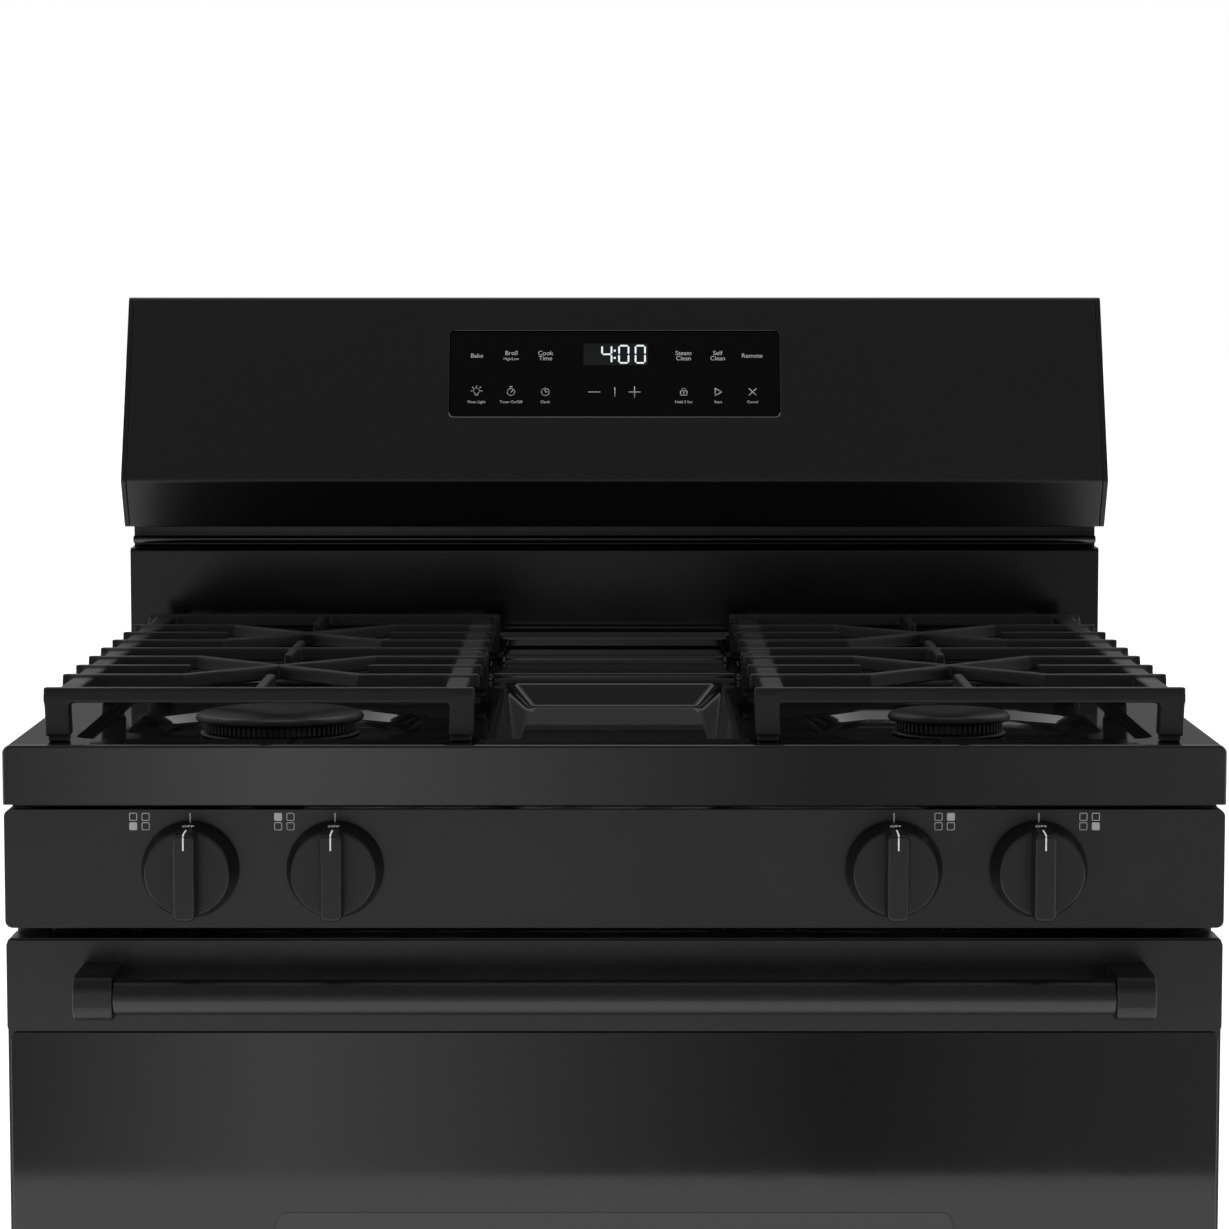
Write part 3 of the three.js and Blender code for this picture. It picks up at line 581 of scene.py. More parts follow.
def sloping_well(x, y, half_x, half_y, corner, floor, slope, cut=0.6):
    """Cutter for a pressed well: an octagon that widens upwards by slope metres per metre.

    cut is how much of that widening its cut corners take.
    """
    outlines = []
    for z in (floor, RIM + 20 * MM):
        grow = (z - floor) * slope
        plan = octagon(x, y, half_x + grow, half_y + grow, corner + grow * cut)
        outlines.append([(px, py, z) for px, py in plan])
    bm = loft(bmesh.new(), *outlines)
    bmesh.ops.recalc_face_normals(bm, faces=bm.faces)
    return bm


skirt_back = apron_high.y
end_view = filleted([(-HALF, apron_low.z), (HALF, apron_low.z), (HALF, RIM), (-HALF, RIM)],
                    [0, 0, 5.5 * MM, 5.5 * MM], 8)
pan = as_object("cooktop_pressing", prism(end_view, FRONT, skirt_back, "Y"), ENAMEL)
ledge_plan = oblong(-HALF + 8.5 * MM, HALF - 8.5 * MM, back(588), skirt_back, 6 * MM)
carve(pan, scratch(prism(ledge_plan, RIM - 0.01, RIM + 0.010, "Z")), "UNION")
ridge_plan = oblong(-0.362, 0.362, back(577), back(611), 12 * MM, 10)
ridge = scratch(prism(ridge_plan, RIM - 0.02, apron_high.z, "Z"))
carve(pan, roll_edges(ridge, 8, 8, 60), "UNION")
tray_plan = oblong(-0.338, 0.338, back(35), back(536), 14 * MM, 8)
carve(pan, scratch(prism(tray_plan, TRAY_FLOOR, RIM + 0.05, "Z")))
vent_plan = oblong(-0.093, 0.093, back(436), back(560), 5 * MM)
carve(pan, scratch(prism(vent_plan, TRAY_FLOOR - 0.004, RIM, "Z")), "UNION")
vent_step = oblong(-0.085, 0.085, back(512), back(560), 4 * MM)
carve(pan, scratch(prism(vent_step, RIM - 0.004, RIM + 0.0055, "Z")), "UNION")
for x, y in BURNERS.values():
    carve(pan, scratch(sloping_well(x, y, 0.084, 0.076, 0.036, WELL_FLOOR, 1.6)))
carve(pan, scratch(sloping_well(0, back(242), 0.062, 0.160, 0.004, MIDDLE_FLOOR, 1.1, cut=0.15)))
for x, y in BURNERS.values():
    hole = lathe([(0, 0.87), (0.021, 0.87), (0.021, RIM), (0, RIM)], (x, y, 0), steps=40)
    carve(pan, scratch(hole))

# %% Open its underside, roll the edges and give it a thickness
bm = bmesh.new()
bm.from_mesh(pan.data)
under = [f for f in bm.faces if f.normal.z < -0.9]
sleeve = [f for f in bm.faces if abs(f.normal.z) < 0.2 and min(
    (f.calc_center_median().xy - Vector(spot)).length for spot in BURNERS.values()) < 0.0212]
back_wall = [f for f in bm.faces if f.normal.y > 0.9 and f.calc_center_median().y > skirt_back - 0.001]
bmesh.ops.delete(bm, geom=list(set(under + sleeve + back_wall)), context="FACES")
bm.to_mesh(pan.data)
bm.free()
roll_edges(pan, 2.2, segments=4, angle=24, clamp=False)
split = pan.modifiers.new("split_large_faces", "TRIANGULATE")
split.min_vertices = 5
split.ngon_method = "BEAUTY"
skin = pan.modifiers.new("steel", "SOLIDIFY")
skin.thickness = 1.1 * MM
skin.offset = -1
settle(pan)
belongs(pan, "range_body", "cooktop_enamel", "cooktop")
print("cooktop pressing:", len(pan.data.polygons), "faces")

# %% [markdown]
# ## Cast-iron grates
# A grate is poured in sand, so nothing on it is sharp: bars swell into each other where they
# meet. Boxes that overlap are remeshed with small voxels and then smoothed, which rounds the
# edges and fills every corner with a casting fillet at once. Silicone feet keep the iron off
# the enamel.

# %% One grate from its bars
grate_low, grate_high = corners("grate_left")
GRATE = {  # metres for the top, millimetres for the rest
    "top": grate_high.z, "tall": 9.5, "bar": 9.0, "half": 134.3, "pitch": 59.5,
    "rail_at": 121.5, "rail": 14.6, "leg_at": 126.6, "leg": 16, "front": 15, "rear": 552,
}
FINGER_TIPS = (58.5, 56)  # how near the bars come to the middle of a burner, on it and beside it
SPINES = (101, 227, 332, 468)  # ends of the bars that run from front to back


def bar_between(bm, start, end, width, low, high, taper=0.4):
    """Cast bar between two plan points, a little narrower at the top than at the bottom."""
    start, end = Vector(start), Vector(end)
    along = (end - start).normalized()
    side = Vector((-along.y, along.x)) * width / 2
    crown = side * (1 - taper * 0.5)
    lower = [start - side, end - side, end + side, start + side]
    upper = [start - crown, end - crown, end + crown, start + crown]
    loft(bm, [(*p, low) for p in lower], [(*p, high) for p in upper])


def cast_grate(name, centre):
    """All the bars, rails and legs of one grate, grown together as a casting."""
    g = GRATE
    bm = bmesh.new()
    top, low = g["top"], g["top"] - g["tall"] * MM
    bar = g["bar"] * MM

    def across(y, x0, x1):
        bar_between(bm, (centre + x0 * MM, back(y)), (centre + x1 * MM, back(y)), bar, low, top)

    first, last = g["front"] + g["bar"] / 2, g["rear"] - g["bar"] / 2
    middle = sum(BURNER_ROWS) / 2
    on_burner, beside = FINGER_TIPS
    for y in (first, middle, last):
        across(y, -g["half"], g["half"])
    for y in BURNER_ROWS:
        for s in (-1, 1):
            across(y, s * g["half"], s * on_burner)
            across(y - g["pitch"], s * g["half"], s * beside)
            across(y + g["pitch"], s * g["half"], s * beside)
            bar_between(bm, (centre - 58 * MM, back(y - s * g["pitch"])),
                        (centre + 58 * MM, back(y + s * g["pitch"])), bar, low, top)
    spines = (first, *SPINES, last)
    for start, end in zip(spines[::2], spines[1::2]):
        bar_between(bm, (centre, back(start)), (centre, back(end)), 7 * MM, low, top)
    for s in (-1, 1):
        x = centre + s * g["rail_at"] * MM
        bar_between(bm, (x, back(first)), (x, back(last)), g["rail"] * MM, low - 0.6 * MM,
                    top - 2 * MM, 0.1)
        for y in (g["front"], middle - g["leg"] / 2, g["rear"] - g["leg"]):
            flare = 1.2 * MM * s
            leg_x = centre + s * g["leg_at"] * MM
            x0, x1, y0, y1 = leg_x - 7.6 * MM, leg_x + 7.6 * MM, back(y), back(y + g["leg"])
            plan = [(x0, y0), (x1, y0), (x1, y1), (x0, y1)]
            loft(bm, [(px - flare, py, grate_low.z + 3 * MM) for px, py in plan],
                 [(px, py, top - 4 * MM) for px, py in plan])
    piece = as_object(name, bm, CAST_IRON)
    grow = piece.modifiers.new("cast", "REMESH")
    grow.mode = "VOXEL"
    grow.voxel_size = 1.4 * MM
    soften = piece.modifiers.new("sand_mould", "SMOOTH")
    soften.factor, soften.iterations = 0.5, 3
    settle(piece)
    lift = grate_high.z - max(v.co.z for v in piece.data.vertices)
    for vertex in piece.data.vertices:
        vertex.co.z += lift
    return piece


def rubber_feet(name, centre):
    """Six silicone pads under the legs of a grate."""
    pads = []
    for s in (-1, 1):
        for y in (23, 278.5, 544):
            x = centre + s * (GRATE["leg_at"] - 1.2) * MM
            pad = slab((x - 6.5 * MM, back(y - 6.5), grate_low.z),
                       (x + 6.5 * MM, back(y + 6.5), grate_low.z + 4.5 * MM), 3 * MM, "Z", 4)
            pads.append(roll_edges(as_object(name, pad, RUBBER), 0.8, 2))
    return unite(name, pads)


for side, centre in (("left", -BURNER_X), ("right", BURNER_X)):
    casting = cast_grate(f"grate_casting_{side}", centre)
    belongs(casting, f"{side}_grate", "cast_iron", f"grate_{side}")
    belongs(rubber_feet(f"grate_feet_{side}", centre), f"{side}_grate", "black_plastic")
    print("grate", side, len(casting.data.polygons), "faces")

# %% [markdown]
# ## Burners
# Gas leaves a sealed burner through a crown of ports under a loose cap. The ports repeat round a
# circle, so a Geometry Nodes tree sets them out: it places one small tooth at every point of a
# circle, turned to face outwards, and realises them. The number of ports, the circle and the
# tooth are its inputs.

# %% A tree that sets copies round a circle
def tree_with_inputs(name, **kinds):
    """An empty geometry tree with a geometry input, these inputs of its own, and a finish."""
    tree = bpy.data.node_groups.new(name, "GeometryNodeTree")
    sockets = tree.interface
    sockets.new_socket("Geometry", in_out="INPUT", socket_type="NodeSocketGeometry")
    for socket, kind in {**kinds, "Finish": "Material"}.items():
        sockets.new_socket(socket, in_out="INPUT", socket_type="NodeSocket" + kind)
    sockets.new_socket("Geometry", in_out="OUTPUT", socket_type="NodeSocketGeometry")
    return tree, tree.nodes.new("NodeGroupInput").outputs


def close_tree(tree, given, geometry):
    """End a tree with real geometry that wears the given finish."""
    real = add(tree, "GeometryNodeRealizeInstances", {"Geometry": geometry})
    dressed = {"Geometry": real.outputs[0], "Material": given["Finish"]}
    done = add(tree, "GeometryNodeSetMaterial", dressed)
    add(tree, "NodeGroupOutput", {0: done.outputs[0]})
    return tree


def ring_of_blocks():
    """Node tree: blocks of a given size set round a circle, facing outwards."""
    tree, given = tree_with_inputs("ring_of_blocks", Count="Int", Radius="Float", Block="Vector",
                                   Centre="Vector")
    circle = add(tree, "GeometryNodeMeshCircle", {"Vertices": given["Count"], "Radius": given["Radius"]})
    tooth = add(tree, "GeometryNodeMeshCube", {"Size": given["Block"]})
    spot = add(tree, "GeometryNodeInputPosition")
    facing = add(tree, "FunctionNodeAlignRotationToVector", {"Vector": spot.outputs[0]}, axis="X")
    copies = add(tree, "GeometryNodeInstanceOnPoints", {"Points": circle.outputs[0],
                 "Instance": tooth.outputs[0], "Rotation": facing.outputs[0]})
    moved = add(tree, "GeometryNodeTransform", {"Geometry": copies.outputs[0],
                                                "Translation": given["Centre"]})
    return close_tree(tree, given, moved.outputs[0])


def grown(piece, tree, **values):
    """Run a node tree on a piece, with its inputs set, and keep the result as a plain mesh."""
    modifier = piece.modifiers.new(tree.name, "NODES")
    modifier.node_group = tree
    for item in tree.interface.items_tree:
        if item.item_type == "SOCKET" and item.in_out == "INPUT" and item.name in values:
            modifier[item.identifier] = values[item.name]
    return settle(piece, smooth=False)


RING = ring_of_blocks()

# %% Heads, ports, caps and electrodes
for where, (x, y) in BURNERS.items():
    head_low, head_high = corners(f"burner_head_{where}")
    cap_low, cap_high = corners(f"burner_cap_{where}")
    cap_radius = (cap_high.x - cap_low.x) / 2
    ring_radius = cap_radius - 6 * MM
    seat = WELL_FLOOR + 0.4 * MM
    outline = [(0, head_low.z), (0.017, head_low.z), (0.017, seat), (ring_radius + 2.4 * MM, seat),
               (ring_radius + 3 * MM, seat + 0.8 * MM), (ring_radius + 2.6 * MM, seat + 1.8 * MM),
               (ring_radius - 1 * MM, seat + 3.2 * MM), (ring_radius - 1.6 * MM, head_high.z - 0.2 * MM),
               (0, head_high.z - 0.2 * MM)]
    head = as_object(f"burner_base_{where}", lathe(outline, (x, y, 0), steps=96), ALUMINIUM)
    roll_edges(head, 0.4, 2)
    tooth = (4.2 * MM, 1.9 * MM, head_high.z - seat - 3.2 * MM)
    crown = placed(f"burner_crown_{where}", bpy.data.meshes.new("crown"))
    grown(crown, RING, Count=int(ring_radius * math.tau / (3.6 * MM)), Radius=ring_radius - 1.5 * MM,
          Block=tooth, Centre=(x, y, head_high.z - tooth[2] / 2 - 0.05 * MM), Finish=ALUMINIUM)
    belongs(head, "range_body", "burner_aluminium", f"burner_head_{where}")
    belongs(crown, "range_body", "burner_aluminium")

    z0, z1 = cap_low.z, cap_high.z
    disc = [(0, z0), (cap_radius - 3 * MM, z0), (cap_radius - 1.2 * MM, z0 + 0.2 * MM),
            (cap_radius - 0.2 * MM, z0 + 1.1 * MM), (cap_radius, z0 + 2.2 * MM),
            (cap_radius - 0.4 * MM, z0 + 3.4 * MM), (cap_radius - 1.6 * MM, z1 - 1.3 * MM),
            (cap_radius - 4 * MM, z1 - 0.55 * MM), (cap_radius - 9 * MM, z1 - 0.15 * MM),
            (cap_radius * 0.5, z1), (0, z1)]
    cap = as_object(f"burner_cap_disc_{where}", lathe(disc, (x, y, 0), steps=128), CAP_IRON)
    cap.data.shade_smooth()
    belongs(cap, f"cap_{where}", "cast_iron", f"burner_cap_{where}")

    spark_y = y + cap_radius + 5 * MM  # behind its cap
    stem = in_mm([(0, -6), (3.2, -6), (3.2, 3), (2.2, 4), (2.2, 7.5), (1.6, 8.2), (0, 8.2)], WELL_FLOOR)
    insulator = as_object(f"spark_insulator_{where}", lathe(stem, (x, spark_y, 0), steps=24), CERAMIC)
    insulator.data.shade_smooth()
    wire = [(x, spark_y - lean * MM, WELL_FLOOR + up * MM) for lean, up in ((0, 7), (0, 11), (3, 12.4))]
    tip = swept(f"spark_tip_{where}", wire, 0.7, STAINLESS, sides=8)
    belongs(insulator, "range_body", "burner_aluminium")
    belongs(tip, "range_body", "burner_aluminium")
print("four burners, caps and electrodes")

# %% [markdown]
# ## Front panel and knobs
# The panel is a folded strip of painted steel. Each knob is one ABS moulding: a shallow skirt
# that hides the valve's hole, and a bar to turn it by. A white line is hot-stamped along the bar
# and over its end, so that it can be read from above against the tick on the panel.

# %% Printed markings as thin raised ink
def ink_bar(bm, x0, x1, z0, z1, y, thick=0.06 * MM):
    """A printed stroke on an upright face at depth y."""
    return block((x0, y - thick, z0), (x1, y, z1), bm)


def ink_ring(bm, x, z, half, stroke, y, thick=0.06 * MM):
    """A printed hollow square with clipped corners."""
    outer = oblong(x - half, x + half, z - half, z + half, half * 0.3, 2)
    hole = half - stroke
    inner = oblong(x - hole, x + hole, z - hole, z + hole, half * 0.2, 2)
    rings = []
    for plan in (outer, inner):
        for depth in (y, y - thick):
            rings.append([bm.verts.new((px, depth, pz)) for px, pz in plan])
    outer_back, outer_front, inner_back, inner_front = rings
    for a, b in ((outer_front, inner_front), (inner_back, outer_back), (outer_back, outer_front),
                 (inner_front, inner_back)):
        for k in range(len(a)):
            n = (k + 1) % len(a)
            bm.faces.new([a[k], a[n], b[n], b[k]])
    return bm


def lettering(text, size_mm, material, name):
    """Flat words as a mesh in the XY plane, centred on the origin."""
    curve = bpy.data.curves.new(name, "FONT")
    curve.body = text
    curve.size = size_mm * MM
    curve.align_x, curve.align_y = "CENTER", "CENTER"
    curve.extrude = 0.03 * MM
    curve.offset = size_mm * MM * 0.006
    curve.resolution_u = 3
    curve.space_line = 0.85
    return from_curve(name, curve, material)


# %% The folded panel
panel_low, panel_high = corners("control_panel")
outside = slab(panel_low, (panel_high.x, panel_high.y - 3 * MM, panel_high.z - 0.9 * MM), 4.5 * MM)
panel = as_object("front_panel", outside, PAINT)
KNOBS = [(corners(f"valve_stem_{k}")[0] + corners(f"valve_stem_{k}")[1]) / 2 for k in range(1, 5)]
hollow = slab((panel_low.x + SHEET, panel_low.y + SHEET, panel_low.z + SHEET),
              (panel_high.x - SHEET, panel_high.y + 0.05, panel_high.z - 2.1 * MM), 3.5 * MM, steps=4)
carve(panel, scratch(hollow))
for knob_at in KNOBS:
    bore = in_mm([(0, -10), (5.5, -10), (5.5, 10), (0, 10)], panel_low.y)
    carve(panel, scratch(lathe(bore, (knob_at.x, 0, knob_at.z), "Y", 32)))
belongs(roll_edges(panel, 1.6, 4, 40), "range_body", "body_paint", "control_panel")
# Painted shade: a matte black rubber strip is put in the gap between the apron and the panel so that the gap
# reads dark.
strip = slab((-0.374, back(6), panel_high.z + 0.1 * MM), (0.374, back(12), apron_low.z + 4 * MM),
             1 * MM, "X", 3)
gap_shade_strip = as_object("panel_gap_shade_strip", strip, RUBBER)
belongs(settle(gap_shade_strip), "range_body", "black_plastic")

# %% Ticks and burner signs
marks = bmesh.new()
face_y = panel_low.y - 0.02 * MM
SIGNS = {-0.2633: (-1, (0, 1)), -0.1734: (-1, (0, 0)), 0.1734: (1, (1, 0)), 0.2633: (1, (1, 1))}
for x, (side, filled) in SIGNS.items():
    ink_bar(marks, x - 0.42 * MM, x + 0.42 * MM, 0.8709, 0.8785, face_y)
    centre_x, centre_z = x + side * 31.5 * MM, 0.8731
    for column in (0, 1):
        for row in (0, 1):
            sx = centre_x + (column - 0.5) * 7.7 * MM
            sz = centre_z + (0.5 - row) * 5.9 * MM
            ink_ring(marks, sx, sz, 2.45 * MM, 0.42 * MM, face_y)
            if (column, row) == filled:
                ink_bar(marks, sx - 2.1 * MM, sx + 2.1 * MM, sz - 2.1 * MM, sz + 2.1 * MM, face_y)
signs = as_object("panel_signs", marks, INK)
belongs(signs, "range_body", "body_paint")
print("panel markings:", len(signs.data.polygons), "faces")


# %% One knob
def knob_moulding(name, x, z, node):
    """Skirt turned about the valve's axis, with a rounded bar joined across its face."""
    low, high = corners(node)
    rear, nose = high.y, low.y
    r = (high.x - low.x) / 2
    face = rear - 18 * MM
    rim = [(r - a * MM, rear - d * MM) for a, d in ((1.2, 0), (0.3, 0.4), (0, 1.4), (0.35, 3))]
    front = [(r - a * MM, face + d * MM) for a, d in ((3.1, 2.2), (3.5, 0.7), (4.3, 0), (4.8, 0))]
    bore = in_mm([(0, -13), (4.4, -13), (4.4, 0)], rear)
    skirt = lathe([(4.4 * MM, rear), *rim, *front, (0, face), *bore], (x, 0, z), "Y", 96)
    bmesh.ops.remove_doubles(skirt, verts=skirt.verts, dist=1e-6)
    bmesh.ops.recalc_face_normals(skirt, faces=skirt.faces)
    piece = as_object(name, skirt, ABS)
    plan = oblong(x - 7.1 * MM, x + 7.1 * MM, z - 27.4 * MM, z + 27.4 * MM, 3.6 * MM, 7)
    bar = as_object("scratch", prism(plan, nose, face + 6 * MM, "Y"), ABS)
    for vertex in bar.data.vertices:
        if vertex.co.y < nose + 1e-5:
            vertex.co.x = x + (vertex.co.x - x) * 0.93
            vertex.co.z = z + (vertex.co.z - z) * 0.975
    roll_edges(bar, 1.9, 5, 40)
    return settle(carve(piece, bar, "UNION"), crease=50)


def pointer(name, x, z, node):
    """The stamped line on the bar's face and over its upper end."""
    low, high = corners(node)
    bm = bmesh.new()
    half = 0.45 * MM
    block((x - half, low.y - 0.05 * MM, z + 17.2 * MM), (x + half, low.y + 0.02 * MM, z + 25.2 * MM), bm)
    bend = ((-0.05, 25.0), (0.5, 26.35), (1.9, 27.0), (17, 27.55), (17, 27.2), (2.1, 26.6), (0.1, 24.8))
    strip = [(low.y + depth * MM, z + up * MM) for depth, up in bend]
    prism(strip, x - half, x + half, "X", bm)
    return as_object(name, bm, WHITE_INK)


def off_word(name, x, z, node):
    """The word printed on the sloping side of the skirt, bent round it, above the bar."""
    low, high = corners(node)
    r = (high.x - low.x) / 2
    word = lettering("OFF", 4.2, WHITE_INK, name)
    for vertex in word.data.vertices:
        vertex.co.z -= vertex.co.x ** 2 / (2 * r)
    lean = math.atan2(2.75, 12.8)
    place = Matrix.Translation((x, high.y - 9 * MM, z + r - 1.55 * MM)) @ Matrix.Rotation(lean, 4, "X")
    word.data.transform(place)
    return word


for k, spot in enumerate(KNOBS, 1):
    turned = knob_moulding(f"knob_moulding_{k}", spot.x, spot.z, f"knob_{k}")
    belongs(turned, f"dial_{k}", "gloss_plastic", f"knob_{k}")
    belongs(pointer(f"knob_pointer_{k}", spot.x, spot.z, f"knob_{k}"), f"dial_{k}", "gloss_plastic")
    belongs(off_word(f"knob_word_{k}", spot.x, spot.z, f"knob_{k}"), f"dial_{k}", "gloss_plastic")
print("four knobs of", len(turned.data.polygons), "faces")

# %% [markdown]
# ## The backguard
# The console is a folded box whose face leans back so that its touch pad can be read from above.
# Its nose is a bend of real sheet, so it has a radius and catches a soft line of light. Below
# it a bright-edged strip covers the oven's vent, and the riser fills the space down to the
# cooktop.

# %% Console, end caps and the pocket for the glass
shell_low, shell_high = corners("console_shell")
glass_low, glass_high = corners("control_glass")
CHIN_Y, NOSE_Z, TOP_Y = back(583), 1.056, back(623)
SLOPE = math.atan2(TOP_Y - shell_low.y, shell_high.z - NOSE_Z)  # lean of the face from upright


def on_face(u, v, out=0.0):
    """A point on the leaning face: u across, v up along it from the nose, out of its surface."""
    return Vector((u, shell_low.y + v * math.sin(SLOPE) - out * math.cos(SLOPE),
                   NOSE_Z + v * math.cos(SLOPE) + out * math.sin(SLOPE)))


end_outline = [(CHIN_Y, shell_low.z), (shell_high.y, shell_low.z), (shell_high.y, shell_high.z),
               (TOP_Y, shell_high.z), (shell_low.y, NOSE_Z)]
end_radii = [3 * MM, 0.5 * MM, 0.5 * MM, 5 * MM, 4.5 * MM]
profile = filleted(end_outline, end_radii, 8)
casing = as_object("console_casing", prism(profile, shell_low.x, shell_high.x), CONSOLE_PAINT)


def face_slab(u0, u1, v0, v1, out0, out1, radius):
    """Rounded slab lying in the leaning face between two distances out of it."""
    plan = oblong(u0, u1, v0, v1, radius, 6)
    bm = prism(plan, out0, out1, "Z")
    for vertex in bm.verts:
        vertex.co = on_face(*vertex.co)
    bmesh.ops.recalc_face_normals(bm, faces=bm.faces)
    return bm


V0 = (glass_low.z - NOSE_Z) / math.cos(SLOPE) + 1.2 * MM
V1 = V0 + 72 * MM
GLASS_HALF = glass_high.x
carve(casing, scratch(face_slab(-GLASS_HALF - 0.4 * MM, GLASS_HALF + 0.4 * MM, V0 - 0.4 * MM,
                                V1 + 0.4 * MM, -4.4 * MM, 5 * MM, 4.2 * MM)))
belongs(roll_edges(casing, 0.7, 3, 40), "range_body", "body_paint", "console_shell")
for side in ("left", "right"):
    low, high = corners(f"console_end_{side}")
    cap = as_object(f"console_cap_{side}", prism(profile, low.x, high.x), ABS)
    roll_edges(cap, 1.1, 4, 40)
    belongs(cap, "range_body", "gloss_plastic", f"console_end_{side}")

pane_shape = face_slab(-GLASS_HALF, GLASS_HALF, V0, V1, -4.2 * MM, -1.0 * MM, 3.8 * MM)
pane = as_object("touch_glass", pane_shape, ANTIGLARE)
roll_edges(pane, 0.6, 3, 40)
belongs(pane, "range_body", "black_glass", "control_glass")
print("console slope", round(math.degrees(SLOPE), 2), "degrees")

# %% The lip that shows round the glass
LIP = finish("polished_lip", "#8f9092", 0.22, metallic=1.0, grain_mm=3, grain_depth_mm=0.003,
             roughness_spread=0.04, patch_mm=30)
corner = [(-GLASS_HALF + 3.4 * MM - 3.6 * MM * math.cos(turn), V0 + 3.4 * MM - 3.6 * MM * math.sin(turn))
          for turn in (math.pi / 16 * k for k in range(9))]
route = corner + [(-u, v) for u, v in reversed(corner)]
lip = swept("touch_glass_lip", [on_face(u, v, -0.35 * MM) for u, v in route], 0.55, LIP, sides=8)
belongs(lip, "range_body", "gloss_plastic")
upper = [on_face(u, V1 + 0.2 * MM, -0.3 * MM) for u in (3 * MM - GLASS_HALF, GLASS_HALF - 3 * MM)]
belongs(swept("touch_glass_upper_lip", upper, 0.22, LIP, sides=8), "range_body", "gloss_plastic")

# %% [markdown]
# The words, signs and the clock are printed behind the glass in pale ink, and the clock's
# digits are lit from behind. They are laid on the glass as strokes a few hundredths of a
# millimetre thick. Words start as text curves and are made mesh before they are set down, so
# that every piece is plain geometry. The wording is plain English for what each pad does.

# %% Strokes and words on the leaning glass
def stroke(bm, points, width):
    """A drawn line of one width through (x, y) points, in millimetres."""
    for start, end in zip(points, points[1:]):
        a, b = Vector(start), Vector(end)
        along = (b - a).normalized() * width / 2
        side = Vector((-along.y, along.x))
        first, last = a - along * 0.9, b + along * 0.9
        outline = [first - side, last - side, last + side, first + side]
        prism([tuple(p * MM) for p in outline], -0.03 * MM, 0.03 * MM, "Z", bm)
    return bm


def round_points(radius, centre=(0, 0), start=0, end=360, steps=24):
    """Points along an arc, in millimetres and degrees."""
    return [(centre[0] + radius * math.cos(math.radians(start + (end - start) * k / steps)),
             centre[1] + radius * math.sin(math.radians(start + (end - start) * k / steps)))
            for k in range(steps + 1)]


LEAN_SIN, LEAN_COS = math.sin(SLOPE), math.cos(SLOPE)
ON_GLASS = Matrix(((1, 0, 0), (0, LEAN_SIN, -LEAN_COS), (0, LEAN_COS, LEAN_SIN)))


def set_down(piece, u, v):
    """Lay flat artwork on the glass, centred at (u, v)."""
    piece.data.transform(Matrix.Translation(on_face(u, v, -0.95 * MM)) @ ON_GLASS.to_4x4())
    return piece


SIGN_WIDTH = 0.68
SIGN_SHAPES = {  # lines in millimetres; one whose end meets its start is closed
    "lamp": [round_points(2.3, (0, 0.9), -60, 240), [(-1.1, -1.1), (-1.1, -2.5), (1.1, -2.5), (1.1, -1.1)],
             [(0, 4.2), (0, 5.0)], [(2.5, 3.3), (3.2, 4.0)], [(-2.5, 3.3), (-3.2, 4.0)],
             [(3.4, 0.9), (4.2, 0.9)], [(-3.4, 0.9), (-4.2, 0.9)]],
    "timer": [round_points(2.9), [(-0.9, 4.4), (0.9, 4.4)], [(0, 3.0), (0, 4.2)], [(0, 0), (1.3, 1.3)]],
    "clock": [round_points(3.0), [(0, 1.9), (0, 0), (1.5, 0)]],
    "lock": [[(-2.5, -2.6), (2.5, -2.6), (2.5, 1.0), (-2.5, 1.0), (-2.5, -2.6)],
             round_points(1.7, (0, 1.3), 0, 180, 12), [(0, -1.4), (0, -0.3)]],
    "start": [[(-2.2, -3.1), (2.8, 0), (-2.2, 3.1), (-2.2, -3.1)]],
    "cancel": [[(-2.7, -2.7), (2.7, 2.7)], [(-2.7, 2.7), (2.7, -2.7)]],
    "less": [[(-4.4, 0), (4.4, 0)]],
    "more": [[(-4.4, 0), (4.4, 0)], [(0, -4.4), (0, 4.4)]],
    "divider": [[(0, -3.6), (0, 3.6)]],
}
COLUMNS = (-106.7, -80.0, -53.5, 53.5, 80.0, 106.7)
ROW_ONE, ROW_TWO, ROW_LABELS = V1 - 20.8 * MM, V1 - 51.0 * MM, V1 - 59.3 * MM
TOP_WORDS = ("Bake", "Broil", "Cook\nTime", "Steam\nClean", "Self\nClean", "Remote")
LOW_WORDS = ("Oven Light", "Timer On/Off", "Clock", "Hold 3 Sec", "Start", "Cancel")
LOW_SIGNS = ("lamp", "timer", "clock", "lock", "start", "cancel")


def sign(shape, u, v):
    """One drawn sign as a mesh on the glass."""
    bm = bmesh.new()
    for points in SIGN_SHAPES[shape]:
        stroke(bm, points, SIGN_WIDTH)
    return set_down(as_object(shape, bm, INK), u, v)


art = []
for column, top, low, shape in zip(COLUMNS, TOP_WORDS, LOW_WORDS, LOW_SIGNS):
    u = column * MM
    raised = 2.2 * MM if top == "Broil" else 0  # room for the small line under it
    art.append(set_down(lettering(top, 5.1, INK, "word"), u, ROW_ONE + raised))
    art.append(set_down(lettering(low, 3.1, INK, "word"), u, ROW_LABELS))
    art.append(sign(shape, u, ROW_TWO))
art.append(set_down(lettering("High/Low", 3.1, INK, "word"), COLUMNS[1] * MM, ROW_ONE - 2.6 * MM))
for shape, u in (("less", -15.5), ("divider", 0.3), ("more", 15.5)):
    art.append(sign(shape, u * MM, ROW_TWO))
belongs(unite("touch_markings", art), "range_body", "black_glass")

# %% The clock's seven-segment digits
LIT = {"4": "bcfg", "0": "abcdef"}
TALL, WIDE, BAR = 7.2, 7.3, 1.35  # half height, width and stroke of a digit, in millimetres


